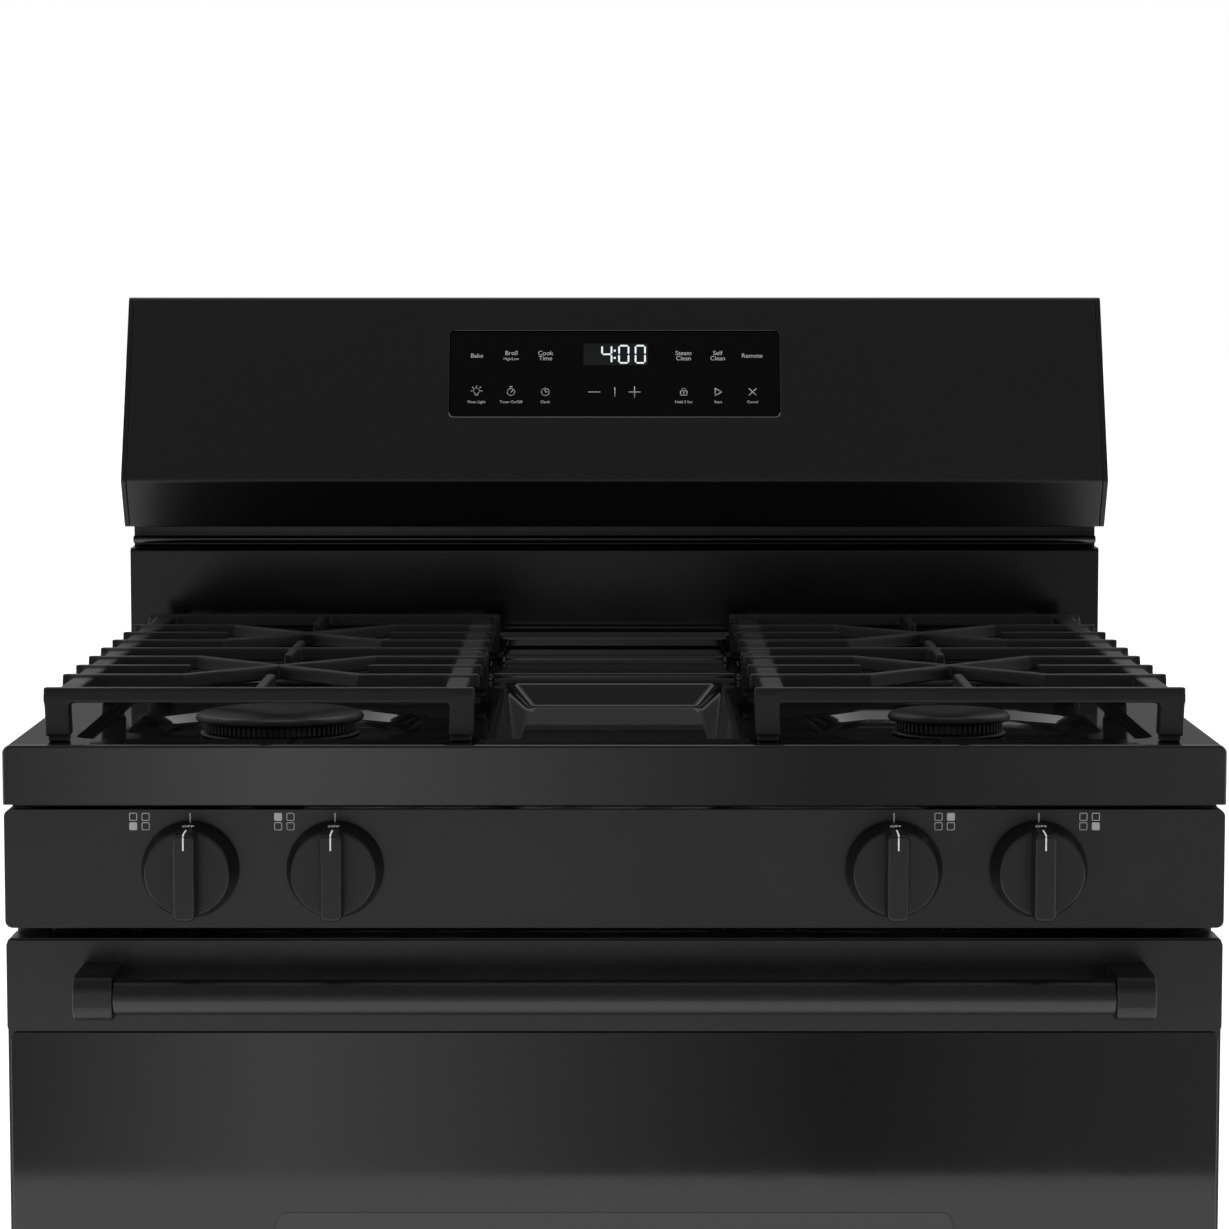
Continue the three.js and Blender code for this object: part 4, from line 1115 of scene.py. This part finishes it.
def segments(bm, digit, u):
    """The lit bars of one digit, as long hexagons."""
    right, up = WIDE / 2, TALL / 2
    places = {"a": (0, TALL, 0), "g": (0, 0, 0), "d": (0, -TALL, 0), "b": (right, up, 1),
              "c": (right, -up, 1), "f": (-right, up, 1), "e": (-right, -up, 1)}
    for letter in LIT[digit]:
        x, y, upright = places[letter]
        reach = (TALL if upright else WIDE) / 2 - 0.35
        bar = [(-reach, 0), (-reach + BAR / 2, BAR / 2), (reach - BAR / 2, BAR / 2), (reach, 0),
               (reach - BAR / 2, -BAR / 2), (-reach + BAR / 2, -BAR / 2)]
        turned = [(x + b, y + a) if upright else (x + a, y + b) for a, b in bar]
        prism([((u + px) * MM, py * MM) for px, py in turned], -0.03 * MM, 0.03 * MM, "Z", bm)


digits = bmesh.new()
for digit, u in (("4", -6.0), ("0", 7.2), ("0", 20.0)):
    segments(digits, digit, u)
for y in (-3.0, 3.0):
    dot = [((0.2 + a) * MM, (y + b) * MM) for a, b in ((-0.8, -0.8), (0.8, -0.8), (0.8, 0.8), (-0.8, 0.8))]
    prism(dot, -0.03 * MM, 0.03 * MM, "Z", digits)
clock = set_down(as_object("clock_digits", digits, GLOW), 0, V1 - 19.5 * MM)
belongs(clock, "range_body", "black_glass")
SMOKE = finish("smoked_display_window", "#0c0e0f", 0.12, grain_mm=20, grain_depth_mm=0.004,
               roughness_spread=0.02, patch_mm=40)
window = as_object("clock_window", face_slab(-24 * MM, 26 * MM, V1 - 28.5 * MM, V1 - 10.5 * MM,
                                             -1.0 * MM, -0.985 * MM, 0.8 * MM), SMOKE)
belongs(settle(window), "range_body", "black_glass")
print("touch panel:", len(SIGN_SHAPES), "signs and three digits")

# %% Riser and vent strip
riser_low, riser_high = corners("riser_panel")
fold = [(back(614), riser_low.z), (back(614), 1.001), (back(640), 1.001),
        (back(640), riser_high.z), (back(641.2), riser_high.z), (back(641.2), 0.9998),
        (back(615.2), 0.9998), (back(615.2), riser_low.z)]
fold_radii = [0, 3.2 * MM, 1.4 * MM, 0, 0, 2.6 * MM, 2 * MM, 0]
folded = prism(filleted(fold, fold_radii, 6), riser_low.x, riser_high.x)
riser = as_object("riser_sheet", folded, SATIN_ENAMEL)
for side in (-1, 1):
    inner, outer = sorted((side * (riser_high.x - SHEET), side * riser_high.x))
    flank = slab((inner, back(615), riser_low.z), (outer, riser_high.y, 0.9995), 1.5 * MM, "X", 3)
    carve(riser, scratch(flank), "UNION")
belongs(roll_edges(riser, 0.35, 2, 40), "range_body", "cooktop_enamel", "riser_panel")

strip_low, strip_high = corners("vent_trim")
nosing = filleted([(strip_low.y, strip_low.z), (strip_high.y, strip_low.z), (strip_high.y, strip_high.z),
                   (strip_low.y, strip_high.z)], [2.9 * MM, 0, 0, 2.9 * MM], 8)
strip = as_object("vent_strip", prism(nosing, strip_low.x, strip_high.x), ENAMEL)
belongs(roll_edges(strip, 0.5, 3, 60), "range_body", "cooktop_enamel", "vent_trim")
print("riser and vent strip done")

# %% [markdown]
# ## Things that repeat in rows
# Screws, vent slots, rack wires and burner ports are one shape set down many times. A second
# node tree takes the piece's own mesh as the template and copies it to every point of a grid,
# so one small drawing and four numbers make the whole row.

# %% A tree that sets copies in rows
def rows_of_copies():
    """Node tree: the incoming mesh copied over a grid, then given its finish."""
    tree, given = tree_with_inputs("rows_of_copies", Across="Int", Along="Int", Width="Float",
                                   Length="Float", Turn="Rotation", Centre="Vector")
    grid = add(tree, "GeometryNodeMeshGrid", {"Size X": given["Width"], "Size Y": given["Length"],
                                              "Vertices X": given["Across"], "Vertices Y": given["Along"]})
    turned = add(tree, "GeometryNodeTransform", {"Geometry": grid.outputs[0], "Rotation": given["Turn"],
                                                 "Translation": given["Centre"]})
    copies = add(tree, "GeometryNodeInstanceOnPoints", {"Points": turned.outputs[0],
                                                        "Instance": given["Geometry"]})
    return close_tree(tree, given, copies.outputs[0])


ROWS = rows_of_copies()
UPRIGHT = (math.pi / 2, 0, 0)


def in_rows(name, template, material, centre, across=1, along=1, width=0.0, length=0.0,
            turn=(0, 0, 0)):
    """Copies of a small bmesh drawn at the origin, set out over a grid."""
    return grown(as_object(name, template, material), ROWS, Across=across, Along=along, Width=width,
                 Length=length, Turn=turn, Centre=centre, Finish=material)


def screw_head(radius_mm=3.6, tall_mm=0.75):
    """Low head of a sheet-metal screw with a cross recess, facing the back."""
    r, t = radius_mm * MM, tall_mm * MM
    side = [(0, -0.4 * MM), (r, -0.4 * MM), (r, t * 0.45), (r * 0.8, t * 0.85), (r * 0.45, t), (0, t)]
    head = as_object("scratch", lathe(side, (0, 0, 0), "Y", 20), STAINLESS)
    for arm_x, arm_z in ((r * 0.55, 0.45 * MM), (0.45 * MM, r * 0.55)):
        carve(head, scratch(block((-arm_x, t * 0.4, -arm_z), (arm_x, t * 2, arm_z))))
    bm = bmesh.new()
    bm.from_mesh(head.data)
    bpy.data.objects.remove(head)
    return bm


def slot_cutter(half_x, half_z, depth=6 * MM):
    """A round-ended slot through an upright sheet."""
    return slab((-half_x, -depth, -half_z), (half_x, depth, half_z), min(half_x, half_z) * 0.98, steps=5)


# %% [markdown]
# ## Oven door
# The door is a painted steel tray with a sheet of black-printed glass over most of its front. The
# print stops at the window, where the glass is only smoked. Behind it an enamelled liner holds
# a second, clear pane. Doors have two or three panes so that the outside stays cool.

# %% Door tray, outer glass and window
door_low, door_high = corners("door_outer_panel")
pane_low, pane_high = corners("door_glass")
BAND_LOW = pane_high.z + 0.6 * MM
WINDOW = (0.212, 0.418, 0.627)  # half its width, then its lower and upper edges


def window(grow, front, rear, radius):
    """The window's outline as a block between two depths, larger by grow all round."""
    half, low, high = WINDOW
    return slab((-half - grow, front, low - grow), (half + grow, rear, high + grow), radius)


body = slab((door_low.x, back(2), door_low.z), door_high, 3 * MM, steps=4)
tray = as_object("door_tray", body, PAINT)
band = slab((door_low.x, door_low.y, BAND_LOW), (door_high.x, back(3), door_high.z - 1 * MM), 3 * MM, steps=4)
carve(tray, scratch(band), "UNION")
inside = slab((door_low.x + SHEET, back(3.4), door_low.z + SHEET),
              (door_high.x - SHEET, door_high.y + 0.05, door_high.z - SHEET), 2 * MM, steps=4)
carve(tray, scratch(inside))
carve(tray, scratch(window(13 * MM, back(-5), back(20), 10 * MM)))
belongs(roll_edges(tray, 0.55, 3, 40), "oven_door", "body_paint", "door_outer_panel")

SMOKED = finish("smoked_glass", "#3a3c3d", 0.04, ior=1.52, roughness_spread=0.01, Transmission_Weight=0.85)
border = as_object("door_glass_print", slab(pane_low, pane_high, 5 * MM), BLACK_GLASS)
carve(border, scratch(window(0, back(-5), back(5), 9 * MM)))
belongs(roll_edges(border, 0.6, 3, 40), "oven_door", "black_glass", "door_glass")
smoked = window(0, pane_low.y + 0.05 * MM, pane_high.y - 0.05 * MM, 9 * MM)
pane = as_object("door_glass_window", smoked, SMOKED)
belongs(settle(pane), "oven_door", "black_glass")

# %% Liner, inner pane and seal
liner_low, liner_high = corners("door_inner_panel")
inner_low, inner_high = corners("door_inner_glass")
liner = as_object("door_liner", slab(liner_low, liner_high, 16 * MM, steps=8), OVEN_ENAMEL)
carve(liner, scratch(window(1 * MM, back(20), back(60), 12 * MM)))
pocket = slab((inner_low.x - GAP, back(25), inner_low.z - GAP),
              (inner_high.x + GAP, inner_high.y + 0.2 * MM, inner_high.z + GAP), 4 * MM)
carve(liner, scratch(pocket))
for z0, z1 in ((0.318, 0.388), (0.662, 0.736)):
    carve(liner, scratch(slab((-0.27, liner_high.y - 2.2 * MM, z0), (0.27, back(60), z1), 10 * MM)))
belongs(roll_edges(liner, 1.0, 3, 40), "oven_door", "oven_enamel", "door_inner_panel")
clear = as_object("door_inner_pane", slab(inner_low, inner_high, 4 * MM), CLEAR_GLASS)
belongs(roll_edges(clear, 0.5, 2, 40), "oven_door", "clear_glass", "door_inner_glass")
screws = in_rows("door_liner_screws", screw_head(3.2, 0.4), STAINLESS, (0, liner_high.y - GAP, 0.527),
                 2, 5, 0.606, 0.40, UPRIGHT)
belongs(screws, "oven_door", "galvanised_steel")

seal_low, seal_high = corners("door_gasket")
seal_r = (seal_high.y - seal_low.y) / 2
loop = oblong(seal_low.x + seal_r, seal_high.x - seal_r, seal_low.z + seal_r, seal_high.z - seal_r,
              12 * MM, 8)
route = [(x, seal_low.y + seal_r, z) for x, z in loop]
seal = swept("door_seal_braid", route, seal_r / MM - 0.02, BRAID, closed=True, sides=20)
belongs(seal, "range_body", "gasket_fibre", "door_gasket")
print("door: tray, two panes, liner, seal")

# %% Handle
grip_low, grip_high = corners("door_handle")
grip_r = (grip_high.z - grip_low.z) / 2
grip_at = (grip_low + grip_high) / 2
bar = [(0, grip_low.x), (grip_r - 0.5 * MM, grip_low.x), (grip_r, grip_low.x + 0.5 * MM),
       (grip_r, grip_high.x - 0.5 * MM), (grip_r - 0.5 * MM, grip_high.x), (0, grip_high.x)]
tube = as_object("door_handle_tube", lathe(bar, (0, grip_at.y, grip_at.z), "X", 64), PAINT)
belongs(settle(tube), "oven_door", "body_paint", "door_handle")
for side in ("left", "right"):
    low, high = corners(f"handle_post_{side}")
    outline = filleted([(low.y, low.z), (high.y, low.z), (high.y, high.z), (low.y, high.z)],
                       [10 * MM, 1 * MM, 1 * MM, 10 * MM], 8)
    post = as_object(f"door_handle_post_{side}", prism(outline, low.x, high.x), ABS)
    belongs(roll_edges(post, 2.2, 5, 40), "oven_door", "black_plastic", f"handle_post_{side}")
print("handle of", round((grip_high.x - grip_low.x) * 1000), "mm")

# %% [markdown]
# ## Storage drawer
# The front is a folded painted panel whose top is turned in as a finger pull. The bin behind it
# is one sheet of zinc-coated steel, with two pressed ribs that stop its bottom from
# drumming.

# %% Drawer front and bin
face_low, face_high = corners("drawer_front")
bin_low, bin_high = corners("drawer_box")
face = as_object("drawer_face", slab(face_low, face_high, 3 * MM, steps=4), PAINT)
carve(face, scratch(block((face_low.x + SHEET, face_low.y + SHEET, face_low.z + SHEET),
                          (face_high.x - SHEET, face_high.y + 0.05, face_high.z - SHEET))))
grip = oblong(-0.16, 0.16, face_low.y + 13 * MM, face_high.y - 8 * MM, 8 * MM)
carve(face, scratch(prism(grip, face_high.z - 5 * MM, face_high.z + 0.01, "Z")))
belongs(roll_edges(face, 0.55, 3, 40), "storage_drawer", "body_paint", "drawer_front")
bin_shell = as_object("drawer_bin", block(bin_low, bin_high), GALVANISED)
for vertex in bin_shell.data.vertices:
    if vertex.co.y < bin_low.y + 1e-5:
        vertex.co.y = face_low.y + 1.3 * MM
roll_edges(bin_shell, 5, 4, 40)
room = slab((bin_low.x + SHEET, face_low.y + 2.5 * MM, bin_low.z + SHEET),
            (bin_high.x - SHEET, bin_high.y - SHEET, bin_high.z + 0.01), 5 * MM, "Z")
carve(bin_shell, scratch(room))
for rib_x in (-0.16, 0.16):
    rib = slab((rib_x - 14 * MM, back(60), bin_low.z + 1 * MM),
               (rib_x + 14 * MM, back(430), bin_low.z + 3.4 * MM), 12 * MM, "Z", 8)
    carve(bin_shell, scratch(rib), "UNION")
belongs(roll_edges(bin_shell, 0.5, 2, 40), "storage_drawer", "galvanised_steel", "drawer_box")
print("drawer bin", [round((b - a) * 1000) for a, b in zip(bin_low, bin_high)], "mm")

# %% [markdown]
# ## Sides and back
# The sides are one sheet each, folded into a shallow channel and painted like the front. They are
# seen only when the cooker stands free, and a shallow pressed field keeps them stiff. The back
# is left in zinc: it is never seen in a kitchen. Slots let warm air out, and low screw heads
# hold the sheets to the sides.

# %% Side sheets
for side, outward in (("left", -1), ("right", 1)):
    low, high = corners(f"side_panel_{side}")
    outer = high.x if outward > 0 else low.x
    lip = low.x if outward > 0 else high.x
    t = outward * 1.2 * MM
    channel = [(lip, low.y), (outer, low.y), (outer, high.y), (lip, high.y), (lip, high.y - 1.2 * MM),
               (outer - t, high.y - 1.2 * MM), (outer - t, low.y + 1.2 * MM), (lip, low.y + 1.2 * MM)]
    plan = filleted(channel, [0, 2.4 * MM, 2.4 * MM, 0, 0, 1.2 * MM, 1.2 * MM, 0], 5)
    sheet = as_object(f"side_sheet_{side}", prism(plan, low.z, high.z, "Z"), PAINT)
    field = filleted([(back(95), 0.10), (back(605), 0.10), (back(605), 0.82), (back(95), 0.82)], 40 * MM, 10)
    carve(sheet, scratch(prism(field, outer - outward * 0.6 * MM, outer + outward * 0.01)))
    belongs(roll_edges(sheet, 0.3, 3, 40), "range_body", "body_paint", f"side_panel_{side}")
print("side sheets", round((high.y - low.y) * 1000), "mm deep")

# %% Back sheet and console cover, with slots and screws
HEAD_ROOM = 0.6 * MM  # height kept for screw heads behind the back sheet


def back_sheet(name, node, slots):
    """Zinc sheet set just inside its CAD plane, with rows of slots cut through it."""
    low, high = corners(node)
    face_y = high.y - HEAD_ROOM
    plate = slab((low.x, face_y - 0.8 * MM, low.z), (high.x, face_y, high.z), 4 * MM, steps=4)
    piece = as_object(name, plate, GALVANISED)
    for across, along, width, length, centre_x, centre_z, half_x, half_z in slots:
        middle = (centre_x * MM, face_y, centre_z * MM)
        tool = in_rows("scratch", slot_cutter(half_x * MM, half_z * MM), GALVANISED, middle,
                       across, along, width * MM, length * MM, UPRIGHT)
        carve(piece, tool)
    return roll_edges(piece, 0.2, 2, 40)


louvres = ((9, 6, 520, 90, 0, 790, 24, 3), (9, 3, 520, 36, 0, 230, 24, 3))
rear = back_sheet("rear_sheet", "rear_panel", louvres)
belongs(rear, "range_body", "galvanised_steel", "rear_panel")
cover = back_sheet("console_cover_sheet", "console_rear_cover", ((9, 3, 520, 40, 0, 1120, 22, 3),))
belongs(cover, "range_body", "galvanised_steel", "console_rear_cover")
SCREW_ROWS = (("rear_sheet_screws_sides", "rear_panel", 2, 7, 742, 820, 585),
              ("rear_sheet_screws_top", "rear_panel", 6, 1, 620, 0, 1008),
              ("cover_screws", "console_rear_cover", 6, 2, 730, 150, 1107.5))
for name, node, across, along, width, length, centre_z in SCREW_ROWS:
    plane = corners(node)[1].y - HEAD_ROOM
    heads = in_rows(name, screw_head(3.6, 0.55), STAINLESS, (0, plane, centre_z * MM), across, along,
                    width * MM, length * MM, UPRIGHT)
    belongs(heads, "range_body", "galvanised_steel")
print("back:", len(rear.data.polygons), "faces in the rear sheet")

# %% [markdown]
# ## Feet and connections
# A levelling foot is a nylon pad moulded on a threaded stud. The gas regulator is a die casting
# with a round bonnet and a hexagon for the spanner. The mains terminal box is a small folded
# steel box with a clamp plate.

# %% Levelling feet
for corner_name in ("front_left", "front_right", "rear_left", "rear_right"):
    low, high = corners(f"foot_{corner_name}")
    centre = (low + high) / 2
    r = (high.x - low.x) / 2
    pad = [(0, 0), (r - 1.5 * MM, 0), (r, 1.5 * MM), (r, 5 * MM), (r - 2 * MM, 8 * MM)]
    pad += in_mm([(11, 11), (9.5, 15), (0, 15)])
    foot = as_object(f"foot_pad_{corner_name}", lathe(pad, (centre.x, centre.y, 0), steps=48), NYLON)
    belongs(settle(foot), "range_body", "black_plastic", f"foot_{corner_name}")
    thread = [(0, 14)]
    for rise in (1.5 * k for k in range(7)):
        thread += [(4.2, 14.4 + rise), (5.0, 15.1 + rise)]
    turned = lathe(in_mm([*thread, (4.2, 24.8), (0, 24.8)]), (centre.x, centre.y, 0), steps=24)
    stud = as_object(f"foot_stud_{corner_name}", turned, STAINLESS)
    nut = lathe([(0, 24.4 * MM), (9 * MM, 24.4 * MM), (9 * MM, high.z - 0.2 * MM), (0, high.z - 0.2 * MM)],
                (centre.x, centre.y, 0), steps=6)
    hexagon = as_object("scratch", nut, STAINLESS)
    roll_edges(hexagon, 0.6, 2, 40)
    carve(stud, hexagon, "UNION")
    belongs(settle(stud), "range_body", "galvanised_steel")
print("four feet")

# %% Gas regulator and terminal box
inlet_low, inlet_high = corners("gas_inlet")
gx, gy = 0.300, back(626)
bonnet = in_mm([(0, 0), (15, 0), (16, 1), (16, 6), (22.5, 9), (23.9, 11), (23.9, 20), (22.5, 22), (18, 25)],
               inlet_low.z)
bonnet += in_mm([(16, -8), (9, -5), (9, -0.6), (8.4, 0), (0, 0)], inlet_high.z)
regulator = as_object("gas_regulator", lathe(bonnet, (gx, gy, 0), steps=64), ALUMINIUM)
pipe = [(0, back(632)), (8.9 * MM, back(632)), *in_mm([(8.9, -0.6), (8.3, 0), (6.4, 0)], inlet_high.y),
        (6.4 * MM, back(640)), (0, back(640))]
carve(regulator, scratch(lathe(pipe, (gx, 0, 75 * MM), "Y", 40)), "UNION")
belongs(settle(regulator), "range_body", "valve_brass", "gas_inlet")
bolt = lathe(in_mm([(0, -1), (2.2, -1), (2.2, 1.5), (0, 1.8)]), (0, 0, 0), "Z", 6)
bolts = in_rows("regulator_screws", bolt, STAINLESS, (gx, gy, inlet_low.z + 21.4 * MM),
                2, 2, 28 * MM, 28 * MM)
belongs(bolts, "range_body", "galvanised_steel")

box_low, box_high = corners("power_inlet")
terminal = as_object("mains_terminal_box", block(box_low, box_high), GALVANISED)
roll_edges(terminal, 1.4, 3, 40)
middle = (box_low + box_high) / 2
clamp = slab((middle.x - 12 * MM, box_high.y - 5 * MM, middle.z - 8 * MM),
             (middle.x + 12 * MM, box_high.y + 0.01, middle.z + 8 * MM), 5 * MM)
carve(terminal, scratch(clamp))
belongs(settle(terminal), "range_body", "galvanised_steel", "power_inlet")
bush = lathe(in_mm([(4, 0), (8, 0), (8, 3), (6, 4.4), (4, 4.4), (4, 0)]),
             (middle.x, box_high.y - 5 * MM, middle.z), "Y", 32)
bmesh.ops.remove_doubles(bush, verts=bush.verts, dist=1e-6)
bmesh.ops.recalc_face_normals(bush, faces=bush.faces)
belongs(settle(as_object("mains_strain_relief", bush, NYLON)), "range_body", "black_plastic")
print("regulator and terminal box")

# %% [markdown]
# ## Inside the oven
# The cavity is a welded box with rounded corners, coated in grey speckled enamel that hides
# splashes. Rack guides and racks are bent and welded wire with a bright plating: each is one
# wire drawn once and repeated in a row. The two burners are U-shaped tubes with a line of ports.

# %% Liner box, lamp and floor
oven_low, oven_high = corners("oven_cavity")
box = as_object("oven_liner", slab(oven_low, oven_high, 16 * MM, steps=8), OVEN_ENAMEL)
wall = 1.5 * MM
cavity = slab((oven_low.x + wall, oven_low.y - 0.05, oven_low.z + wall),
              (oven_high.x - wall, oven_high.y - wall, oven_high.z - wall), 14.5 * MM, steps=8)
carve(box, scratch(cavity))
belongs(roll_edges(box, 0.5, 2, 40), "range_body", "oven_enamel", "oven_cavity")
LENS_GLASS = finish("pressed_lamp_glass", "#e8e6df", 0.18, ior=1.5, grain_mm=5, grain_depth_mm=0.25,
                    roughness_spread=0.04, patch_mm=20, Transmission_Weight=0.8)
lens_low, lens_high = corners("oven_lamp_lens")
lens_at = (lens_low + lens_high) / 2
r = (lens_high.x - lens_low.x) / 2
dome = [(0, lens_high.y), (r - 1 * MM, lens_high.y), (r, lens_high.y - 1 * MM),
        (r, lens_high.y - 4 * MM), (r - 2.5 * MM, lens_high.y - 5 * MM)]
dome += [((r - 3 * MM) * math.cos(a), lens_high.y - 6 * MM - 14 * MM * math.sin(a))
         for a in (math.pi / 20 * k for k in range(10))]
dome += [(0, lens_low.y)]
lens = as_object("oven_lamp_dome", lathe(dome, (lens_at.x, 0, lens_at.z), "Y", 48), LENS_GLASS)
belongs(settle(lens), "range_body", "clear_glass", "oven_lamp_lens")

floor_low, floor_high = corners("oven_floor")
thick = 1.5 * MM
bridge = [(floor_low.x, floor_low.z), (floor_low.x, floor_high.z), (floor_high.x, floor_high.z),
          (floor_high.x, floor_low.z), (floor_high.x - thick, floor_low.z),
          (floor_high.x - thick, floor_high.z - thick), (floor_low.x + thick, floor_high.z - thick),
          (floor_low.x + thick, floor_low.z)]
bridge = filleted(bridge, [0, 3 * MM, 3 * MM, 0, 0, thick, thick, 0], 4)
plate = as_object("oven_floor_plate", prism(bridge, floor_low.y, floor_high.y, "Y"), OVEN_ENAMEL)
flat_slot = slab((-7 * MM, -20 * MM, -6 * MM), (7 * MM, 20 * MM, 6 * MM), 6.8 * MM, "Z", 5)
carve(plate, in_rows("scratch", flat_slot, OVEN_ENAMEL, (0, (floor_low.y + floor_high.y) / 2, floor_high.z),
                     2, 7, 0.52, 0.39))
belongs(roll_edges(plate, 0.4, 2, 40), "range_body", "oven_enamel", "oven_floor")
print("oven", round((oven_high.x - oven_low.x) * 1000), "mm wide inside its walls")

# %% Racks and their guides
for level in ("lower", "upper"):
    low, high = corners(f"oven_rack_{level}")
    z, gauge = (low.z + high.z) / 2, (high.z - low.z) / 2
    frame_loop = oblong(low.x + gauge, high.x - gauge, low.y + gauge, high.y - gauge, 16 * MM, 8)
    ring = swept("ring", [(x, y, z) for x, y in frame_loop], gauge / MM - 0.05, CHROME, closed=True)
    wire = lathe(in_mm([(0, -218), (1.6, -218), (1.6, 218), (0, 218)]), (0, 0, 0), "Y", 10)
    wires = in_rows("wires", wire, CHROME, (0, (low.y + high.y) / 2, z + 1.2 * MM), 22, 1, 0.545)
    left, right = low.x + gauge, high.x - gauge
    stay = lathe([(0, left), (2.2 * MM, left), (2.2 * MM, right), (0, right)], (0, 0, 0), "X", 12)
    stays = in_rows("stays", stay, CHROME, (0, (low.y + high.y) / 2, z - 0.9 * MM), 1, 3, 0, 0.27)
    belongs(unite(f"oven_rack_wires_{level}", [ring, wires, stays]), f"{level}_rack", "chrome_wire",
            f"oven_rack_{level}")
for side, outward in (("left", -1), ("right", 1)):
    low, high = corners(f"rack_guide_{side}")
    wall_x = (high.x if outward > 0 else low.x) - outward * 1.6 * MM
    inner_x = (low.x if outward > 0 else high.x) + outward * 2.4 * MM
    bend = [(wall_x, low.y + 2.6 * MM), (inner_x, low.y + 2.6 * MM), (inner_x, high.y - 2.6 * MM),
            (wall_x, high.y - 2.6 * MM)]
    route = [(x, y, 0) for x, y in filleted(bend, [0, 5 * MM, 5 * MM, 0], 5)]
    rung = swept("scratch", route, 2.3, CHROME, sides=12)
    drawn = bmesh.new()
    drawn.from_mesh(rung.data)
    bpy.data.objects.remove(rung)
    rungs = in_rows("rungs", drawn, CHROME, (0, 0, 0.5195), 1, 6, 0, 0.31, UPRIGHT)
    posts = [swept("post", [(wall_x, y, z) for z in (low.z + 1.4 * MM, high.z - 1.4 * MM)], 1.4, CHROME,
                   sides=10)
             for y in (low.y + 4 * MM, (low.y + high.y) / 2, high.y - 4 * MM)]
    belongs(unite(f"rack_guide_wires_{side}", [rungs] + posts), "range_body", "chrome_wire",
            f"rack_guide_{side}")
print("two racks and two guides of bent wire")

# %% Bake and broil burners with their ports
for name in ("bake_burner", "broil_burner"):
    low, high = corners(name)
    r, z = (high.z - low.z) / 2, (low.z + high.z) / 2
    half = high.x - r
    bend = filleted([(-half, high.y), (-half, low.y + r), (half, low.y + r), (half, high.y)],
                    [0, 30 * MM, 30 * MM, 0], 10)
    tube = swept(f"{name}_tube", [(x, y, z) for x, y in bend], r / MM - 0.02, ALUMINIUM, sides=24)
    belongs(tube, "range_body", "burner_aluminium", name)
    port = lathe(in_mm([(0, -0.1), (1.1, -0.1), (1.1, 0.12), (0, 0.12)]), (0, 0, 0), steps=10)
    facing = z + (r if name == "bake_burner" else -r)
    ports = in_rows(f"{name}_ports", port, NYLON, (0, (low.y + high.y) / 2 + 12 * MM, facing), 2, 30,
                    2 * half, high.y - low.y - 90 * MM)
    belongs(ports, "range_body", "burner_aluminium")
print("two oven burners")

# %% [markdown]
# ## What stays from the CAD model
# Frames, hinges, the gas rail and the valve stems are plain folded or turned metal, and their
# CAD shapes already say all there is to see. They only need their real finish: pressed frames in
# zinc, the oven's front frame in enamel, a turned brass rail and stems of ground steel.

# %% Finishes for the kept CAD nodes
STEEL = finish("ground_steel", "#9a9b9d", 0.28, metallic=1.0, grain_mm=0.5, grain_depth_mm=0.006,
               roughness_spread=0.07, patch_mm=10, tint="#808184")
KEPT = {"base_frame": GALVANISED, "front_frame": OVEN_ENAMEL, "gas_manifold": BRASS,
        "door_hinge_left": GALVANISED, "door_hinge_right": GALVANISED}
KEPT.update({f"valve_stem_{k}": STEEL for k in range(1, 5)})
for name, material in KEPT.items():
    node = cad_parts[name]
    for part in node.material_slots:
        part.material = material
print(len(KEPT), "CAD nodes kept as they are")
